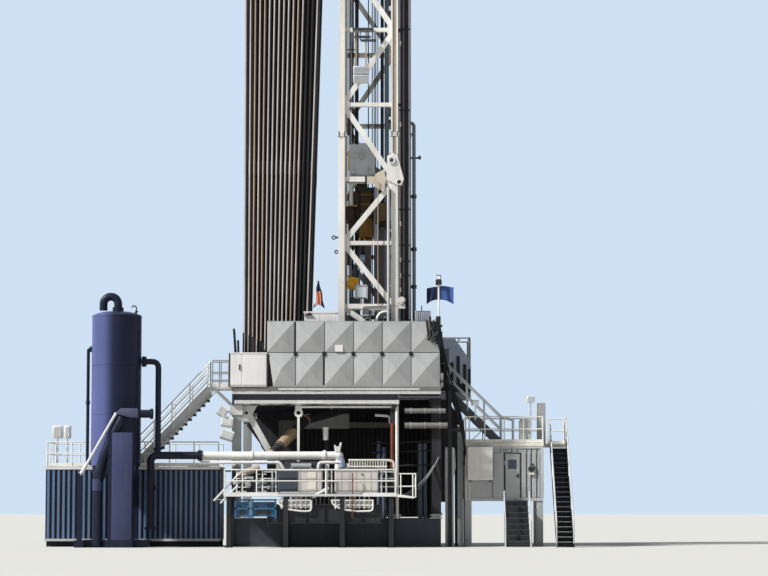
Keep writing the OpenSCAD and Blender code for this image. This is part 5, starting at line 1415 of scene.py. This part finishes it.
        # Dark covers (slot 1) over the upper run and the lower end of the flow line, two dark bands and the down-turn:
        # painted shade; the tan rings between keep the line's own colour.
        for a, b, r in ((q, q.lerp(w, 0.36), 0.099), (q.lerp(w, 0.78), q.lerp(w, 0.99), 0.099),
                        (p, p.lerp(q, 0.995), 0.095)):
            rod(bm, a, b, r, 18, 1)
        for t in (0.76, 0.92):
            c = q.lerp(w, t)
            rod(bm, c - down * 0.02, c + down * 0.02, 0.112, 18, 1)
        rod(bm, w, w - UP * 0.84, 0.097, 18, 1)
        finish_piece("flow_line_sleeve_and_painted_shade", bm, "rig", ["tan_line", "drape_and_painted_shade"], 40)
        return {"FINISHED"}


# ---------------------------------------------------------------- house and cabin

class RIG_OT_house(bpy.types.Operator):
    """Wall panels, frames, door fittings and handrails of the utility house and the cabin"""
    bl_idname = "rig.house"
    bl_label = "House"

    def execute(self, context):
        x0, x1, y0, y1, z0, z1 = 2.235, 3.915, -1.5, -0.3, 0.975, 2.148
        bm = bmesh.new()
        for places, wide, out, low, high in (((2.82, 3.07), 0.012, 0.004, z0 + 0.06, z1 - 0.05),
                                             ((3.56, 3.66, 3.78), 0.014, 0.006, z0 + 0.06, z1 - 0.04),
                                             ((3.0, 3.12, 3.24, 3.36), 0.012, 0.005, z1 - 0.13, z1 - 0.03)):
            for x in places:
                box(bm, (x, y0 - out, low), (x + wide, y0 + 0.01, high), 1)
        for a, b in ((2.27, 2.8), (2.85, 3.05), (3.47, 3.55), (3.585, 3.65), (3.685, 3.77), (3.8, 3.86)):
            soften(bm, box(bm, (a, y0 - 0.012, z0 + 0.07), (b, y0 + 0.006, z1 - 0.14)), 0.008, 2)
        for y, s in ((y0, -1), (y1, 1)):
            boxes(bm, [(x0, y, z1 - 0.045, x1, y + s * 0.016, z1, 2), (x0, y, z0, x1, y + s * 0.016, z0 + 0.06, 2)])
            for x in (x0, x1 - 0.05):
                box(bm, (x, y, z0), (x + 0.05, y + s * 0.018, z1), 2)
        for x, s in ((x0, -1), (x1, 1)):
            for k in range(10):
                box(bm, (x, y0 + 0.06 + 0.115 * k, z0 + 0.05), (x + s * 0.014, y0 + 0.12 + 0.115 * k, z1 - 0.05), 3)
        for k in range(14):
            box(bm, (x0 + 0.06 + 0.115 * k, y1, z0 + 0.07), (x0 + 0.12 + 0.115 * k, y1 + 0.014, z1 - 0.05))
        soften(bm, box(bm, (2.283, y0 - 0.262, 1.415), (2.827, y0 - 0.02, 2.135), 4), 0.012, 2)
        for k in range(8):
            box(bm, (2.826, y0 - 0.22, 1.5 + 0.07 * k), (2.833, y0 - 0.05, 1.53 + 0.07 * k), 1)
        box(bm, (2.32, y0 - 0.27, 1.46), (2.79, y0 - 0.26, 1.6), 4)
        for x in (2.33, 2.76):
            box(bm, (x, y0 - 0.25, 1.38), (x + 0.03, y0, 1.42), 1)
        boxes(bm, [
            (3.085, y0 - 0.008, z0 + 0.04, 3.1, y0 + 0.004, z0 + 1.03, 1),
            (3.43, y0 - 0.008, z0 + 0.04, 3.445, y0 + 0.004, z0 + 1.03, 1),
            (3.085, y0 - 0.008, z0 + 1.02, 3.445, y0 + 0.004, z0 + 1.035, 1),
            (3.6, y0 - 0.06, 1.62, 3.72, y0 - 0.01, 1.7, 1)])
        tube(bm, bend([(3.66, y0 - 0.04, 1.7), (3.7, y0 - 0.04, 1.78), (3.74, y0 - 0.04, 1.66)], 0.03), 0.012, 8, 1)
        box(bm, (3.62, y0 - 0.05, 1.54), (3.73, y0 - 0.01, 1.58), 4)
        finish_piece("house_panels", bm, "rig",
                     ["house_grey", "black_steel", "frame_grey", "girder_grey", "ac_beige"])

        bm = bmesh.new()
        boxes(bm, [
            (3.125, y0 - 0.006, 1.06, 3.405, y0 + 0.003, 1.94),
            (3.37, y0 - 0.03, 1.46, 3.395, y0 + 0.002, 1.56, 1)])
        rod_x(bm, (3.33, y0 - 0.024, 1.51), 3.395, 0.009, 8, 1)
        box(bm, (3.16, y0 - 0.01, 1.66), (3.35, y0 - 0.004, 1.86), 2)
        finish_piece("door_handle", bm, "door", ["frame_grey", "black_steel", "window_dark"])

        bm = bmesh.new()
        for xa, ya, xb, yb, bays in ((2.25, y0 - 0.005, 3.92, y0 - 0.005, 4), (2.25, y1 + 0.005, 3.92, y1 + 0.005, 4),
                                     (4.1, y1 + 0.005, 4.46, y1 + 0.005, 1), (4.46, -0.96, 4.46, y1, 2),
                                     (3.925, y0, 3.925, -1.02, 2)):
            handrail(bm, (xa, ya, HOUSE_DECK), (xb, yb, HOUSE_DECK), bays, 0.58)
        for x in (2.25, 2.33):
            rod_z(bm, (x, y0 - 0.02, 1.0), 2.8, 0.014)
        beam(bm, (2.36, y0 - 0.005, 2.25), (2.62, y0 - 0.005, 2.5), 0.012, 0.02, 1)
        boxes(bm, [
            (x0 - 0.02, y0 - 0.024, 2.155, x1 + 0.02, y0 - 0.02, 2.222, 2), (2.075, -1.3, 0, 2.2, -1.05, 2.6, 1),
            (1.8, -1.9, 0, 1.98, -1.75, 2.12, 1)])
        plate(bm, [(1.8, 2.1), (2.0, 2.1), (2.02, 1.7), (1.98, 1.45), (1.8, 1.45)], -1.93, -1.905, 1)
        for k in range(5):
            rod_z(bm, (2.02 + 0.012 * k, -1.45 + 0.02 * k, 0.0), 2.9 + 0.05 * k, 0.008, 6, 3)
        box(bm, (3.42, -1.46, 2.222), (3.66, -1.25, 2.66), 4)
        rod_x(bm, (3.45, -1.36, 2.7), 3.64, 0.06, 16, 4)
        box(bm, (3.838, -0.945, 2.23), (3.842, -0.755, 3.09), 3)
        for k in range(3):
            box(bm, (3.85, -0.944, 2.35 + 0.25 * k), (4.0, -0.939, 2.55 + 0.25 * k), 1)
        finish_piece("house_handrails", bm, "rig",
                     ["rail_white", "frame_grey", "deck_cream", "black_steel", "ac_beige"], 40)

        bm = bmesh.new()
        cx1, cy0, cy1, top = 2.45, 0.85, 2.25, 4.67
        for x, y in ((2.02, 0.88), (2.02, 2.22), (2.42, 0.88), (2.42, 2.22)):
            box(bm, (x - 0.015, y - 0.015, 4.1), (x + 0.015, y + 0.015, top - 0.002))
        for y in (0.88, 2.22):
            boxes(bm, [
                (2.0, y - 0.015, top - 0.032, 2.44, y + 0.015, top - 0.002),
                (2.42, y - 0.015, 4.1, 2.45, y + 0.015, 4.64)])
        for x in (2.2, 2.42):
            box(bm, (x - 0.015, 0.88, top - 0.032), (x + 0.015, 2.22, top - 0.002))
        box(bm, (1.29, cy0 - 0.006, 3.93), (1.97, cy0 + 0.006, 4.41), 1)
        for x in (1.28, 1.62, 1.97):
            box(bm, (x - 0.012, cy0 - 0.014, 3.9), (x + 0.012, cy0 + 0.004, 4.44))
        for z in (3.91, 4.42):
            box(bm, (1.27, cy0 - 0.014, z - 0.012), (1.98, cy0 + 0.004, z + 0.012))
        box(bm, (cx1 - 0.004, 1.16, 3.66), (cx1 + 0.006, 1.94, 4.01), 1)
        for y in (1.15, 1.55, 1.95):
            box(bm, (cx1 - 0.002, y - 0.012, 3.64), (cx1 + 0.014, y + 0.012, 4.03))
        for k in range(11):
            box(bm, (1.12 + 0.115 * k, cy1, 3.46), (1.17 + 0.115 * k, cy1 + 0.012, 4.05), 2)
        for xa, xb, za, zb in ((2.13, 2.2, 3.5, 4.24), (2.28, 2.345, 3.46, 4.06), (2.39, 2.44, 3.44, 3.95),
                               (1.98, 2.06, 3.5, 4.1)):
            box(bm, (xa, cy0 - 0.02, za), (xb, cy0, zb), 4)
        boxes(bm, [(1.1, cy0 - 0.012, 3.43, 2.44, cy0, 3.62, 4), (1.16, -1.99, 4.79, 1.5, -1.6, 5.04, 3)])
        for x in (1.155, 1.47):
            box(bm, (x, -1.995, FLOOR), (x + 0.035, -1.95, 5.05))
        for k in range(6):
            box(bm, (1.2 + 0.045 * k, -1.994, 4.83), (1.222 + 0.045 * k, -1.988, 5.02))
        rod_z(bm, (1.3, -1.9, 5.04), 5.16, 0.012, 8, 4)
        finish_piece("cabin_frames", bm, "rig",
                     ["frame_grey", "window_dark", "cabin_blue", "tank_blue", "black_steel"])

        bm = bmesh.new()
        x, z = 1.13, 4.12
        for s in (-1, 1):
            for k in range(12):
                t = math.tau * k / 12
                rod_y(bm, (x + 0.31 * math.cos(t), s * 0.505, z + 0.31 * math.sin(t)), s * 0.47, 0.02, 6, 2)
            rod_y(bm, (x, s * 0.565, z), s * 0.64, 0.16, 24, 1)
            rod_y(bm, (x, s * 0.62, z), s * 0.66, 0.05, 16, 2)
            plate(bm, [(0.86, 3.45), (1.4, 3.45), (1.36, 4.55), (0.9, 4.55)], s * 0.562, s * 0.572)
        for k in range(18):
            ring(bm, (x, -0.42 + 0.05 * k, z), (0, 1, 0), 0.335, 0.012, 28, 6, 2)
        finish_piece("winch_drum", bm, "rig", ["mast_cream", "mast_tan", "wire_steel"], 40)
        return {"FINISHED"}


# ---------------------------------------------------------------- hoses and flags

def hose(name, points, r, finish):
    """Hose that hangs between two fixed ends."""
    pts = [Vector(p) for p in points]
    bm = bmesh.new()
    tube(bm, pts, r, 10)
    piece = finish_piece(name, bm, "rig", [finish], 50)


def sag(a, b, drop, n=24):
    """Points of a hose that hangs from a to b, lower in its middle by drop."""
    a, b = Vector(a), Vector(b)
    return [a.lerp(b, i / n) - UP * drop * 4 * (i / n) * (1 - i / n) for i in range(n + 1)]


class RIG_OT_hoses(bpy.types.Operator):
    """Hoses at the end of the drill floor and the flags on their poles"""
    bl_idname = "rig.hoses"
    bl_label = "Hoses and flags"

    def execute(self, context):
        runs = (((1.69, -2.1, 4.7), (2.222, -1.44, 2.1), 0.02), ((1.69, -2.16, 4.4), (2.222, -1.38, 1.95), 0.018),
                ((1.69, -2.04, 4.2), (2.222, -1.46, 1.75), 0.024), ((1.69, -1.96, 4.76), (2.222, -1.34, 1.6), 0.016))
        for i, (a, b, r) in enumerate(runs):
            a, b = Vector(a), Vector(b)
            pts = []
            for t in range(37):
                u = t / 36
                side, belly = u * u * (3 - 2 * u), math.sin(math.pi * u)
                pts.append(Vector((a.x + (b.x - a.x) * side + (0.05 + 0.02 * i) * belly,
                                   a.y + (b.y - a.y) * u, a.z + (b.z - a.z) * u - 0.1 * belly)))
            hose("floor_hose_%d" % i, pts, r, "rubber_black")
        for i, (a, b, drop) in enumerate((((0.755, -2.95, 1.08), (1.55, -2.2, 1.72), 0.16),
                                          ((0.755, -2.8, 1.08), (1.66, -2.2, 1.9), 0.26))):
            hose("skid_hose_%d" % i, sag(a, b, drop), 0.016, "rubber_grey")
        bm = bmesh.new()
        for x, z, r in ((1.4, 4.8, 0.02), (1.47, 4.86, 0.026), (1.55, 4.8, 0.018), (1.61, 4.82, 0.022)):
            tube(bm, bend([(x, -2.24, z + 0.02), (x, -2.31, z), (x + 0.03, -2.32, 4.5), (x - 0.02, -2.31, 4.42)],
                          0.05), r)
        for x, z in ((1.42, 4.44), (1.52, 4.4), (1.58, 4.52), (1.46, 4.6)):
            rod(bm, (x, -2.33, z - 0.05), (x + 0.06, -2.33, z + 0.04), 0.035, 8, 1)
        boxes(bm, [(1.44, -2.315, 4.55, 1.5, -2.29, 4.86, 2), (1.6, -2.31, 4.3, 1.7, -2.2, 4.9, 1)])
        for x, z0, z1, m in ((1.705, 3.46, 4.85, 1), (1.745, 3.42, 4.6, 0), (1.79, FLOOR, 4.2, 1), (1.84, 3.0, 4.0, 0)):
            rod(bm, (x, -1.85, z0), (x - 0.02, -1.88, z1), 0.022, 8, m)
        for z in (3.5, 3.9, 4.3, 4.7):
            box(bm, (1.685, -2.12, z), (1.8 - (z - 3.5) * 0.05, -1.84, z + 0.03), 1)
        boxes(bm, [
            (1.7, -2.0, 3.42, 1.76, -1.9, 3.7, 3), (1.84, -1.98, 2.45, 2.14, -1.76, 2.52, 1),
            (1.86, -1.96, 0.0, 1.94, -1.88, 3.34, 1), (1.12, -3.0, 1.45, 1.24, -2.76, 1.56, 1)])
        rod_z(bm, (1.17, -2.88, 1.04), 1.46, 0.016, 8, 1)
        rod_z(bm, (1.665, -2.0, 3.42), 5.62, 0.02, 10, 3)
        boxes(bm, [
            (1.6, -2.06, 5.6, 1.73, -1.94, 5.7, 1), (1.615, -2.05, 5.7, 1.715, -1.95, 5.81, 1),
            (1.62, -2.06, 5.72, 1.7, -2.05, 5.79, 4)])
        rod(bm, (-0.955, -1.92, 3.42), (-0.98, -1.92, 5.76), 0.009, 8, 3)
        finish_piece("hose_clamps", bm, "rig",
                     ["rubber_black", "black_steel", "tan_line", "rail_white", "lamp_glass"], 40)

        for name, corner, wide, high, look in (("side_flag", (1.685, -2.0, 5.28), 0.3, 0.3, "flag_blue"),
                                               ("side_flag_rear", (1.645, -2.0, 5.28), -0.24, 0.28, "flag_navy"),
                                               ("pipe_flag", (-0.92, -1.92, 5.18), 0.26, 0.52, "flag_orange")):
            bm = bmesh.new()
            bmesh.ops.create_grid(bm, x_segments=16, y_segments=16, size=0.5)
            for v in bm.verts:
                u, w = v.co.x + 0.5, v.co.y + 0.5
                amp = 0.02 + 0.01 * u
                if name == "pipe_flag":
                    limp = 0.08 + 0.92 * (1 - w) ** 0.9 * (0.86 + 0.14 * math.cos(11 * w))
                    v.co = Vector((corner[0] + wide * (u - 0.5 + 0.1 * math.sin(5 * w)) * limp,
                                   corner[1] + 0.03 * math.sin(14 * u + 3 * w) * limp,
                                   corner[2] + high * w - 0.09 * abs(2 * u - 1) ** 1.5 * (1 - w) ** 2))
                    continue
                v.co = Vector((corner[0] + wide * u, corner[1] + amp * math.sin(9 * u + 2.2 * w) * u,
                               corner[2] + high * w - 0.1 * u * u * (0.4 + 0.6 * (1 - w))))
            if name == "pipe_flag":
                for f in bm.faces:
                    c = f.calc_center_median()
                    f.material_index = 0 if c.z < corner[2] + 0.3 and abs(c.x - corner[0]) < 0.055 else 1
            area = sum(f.calc_area() for f in bm.faces)
            piece = finish_piece(name, bm, "rig", [look, "flag_navy"], 180)
        return {"FINISHED"}


class RIG_PT_panel(bpy.types.Panel):
    """Sidebar panel with the settings and the steps"""
    bl_label = "Drilling rig"
    bl_idname = "RIG_PT_panel"
    bl_space_type = "VIEW_3D"
    bl_region_type = "UI"
    bl_category = "Rig"

    def draw(self, context):
        col = self.layout.column()
        for group in (context.scene.rig_sizes, context.scene.rig_colours):
            for key in group.__annotations__:
                col.prop(group, key)
        for step in STEPS:
            col.operator("rig." + step)


STEPS = ["stage", "windwalls", "floor_trim", "stairs", "racked_pipe", "mast_trim", "service_lines", "top_drive_trim",
         "separator", "tank", "shakers", "house", "hoses"]
CLASSES = [RigSizes, RigColours, RIG_OT_stage, RIG_OT_windwalls, RIG_OT_floor_trim, RIG_OT_stairs, RIG_OT_racked_pipe,
           RIG_OT_mast_trim, RIG_OT_service_lines, RIG_OT_top_drive, RIG_OT_separator, RIG_OT_tank, RIG_OT_shakers,
           RIG_OT_house, RIG_OT_hoses, RIG_PT_panel]


def register():
    for one in CLASSES:
        bpy.utils.register_class(one)
    bpy.types.Scene.rig_sizes = PointerProperty(type=RigSizes)
    bpy.types.Scene.rig_colours = PointerProperty(type=RigColours)


def unregister():
    del bpy.types.Scene.rig_colours
    del bpy.types.Scene.rig_sizes
    for one in reversed(CLASSES):
        bpy.utils.unregister_class(one)


def main():
    register()
    for step in STEPS:
        getattr(bpy.ops.rig, step)()


if __name__ == "__main__":
    main()
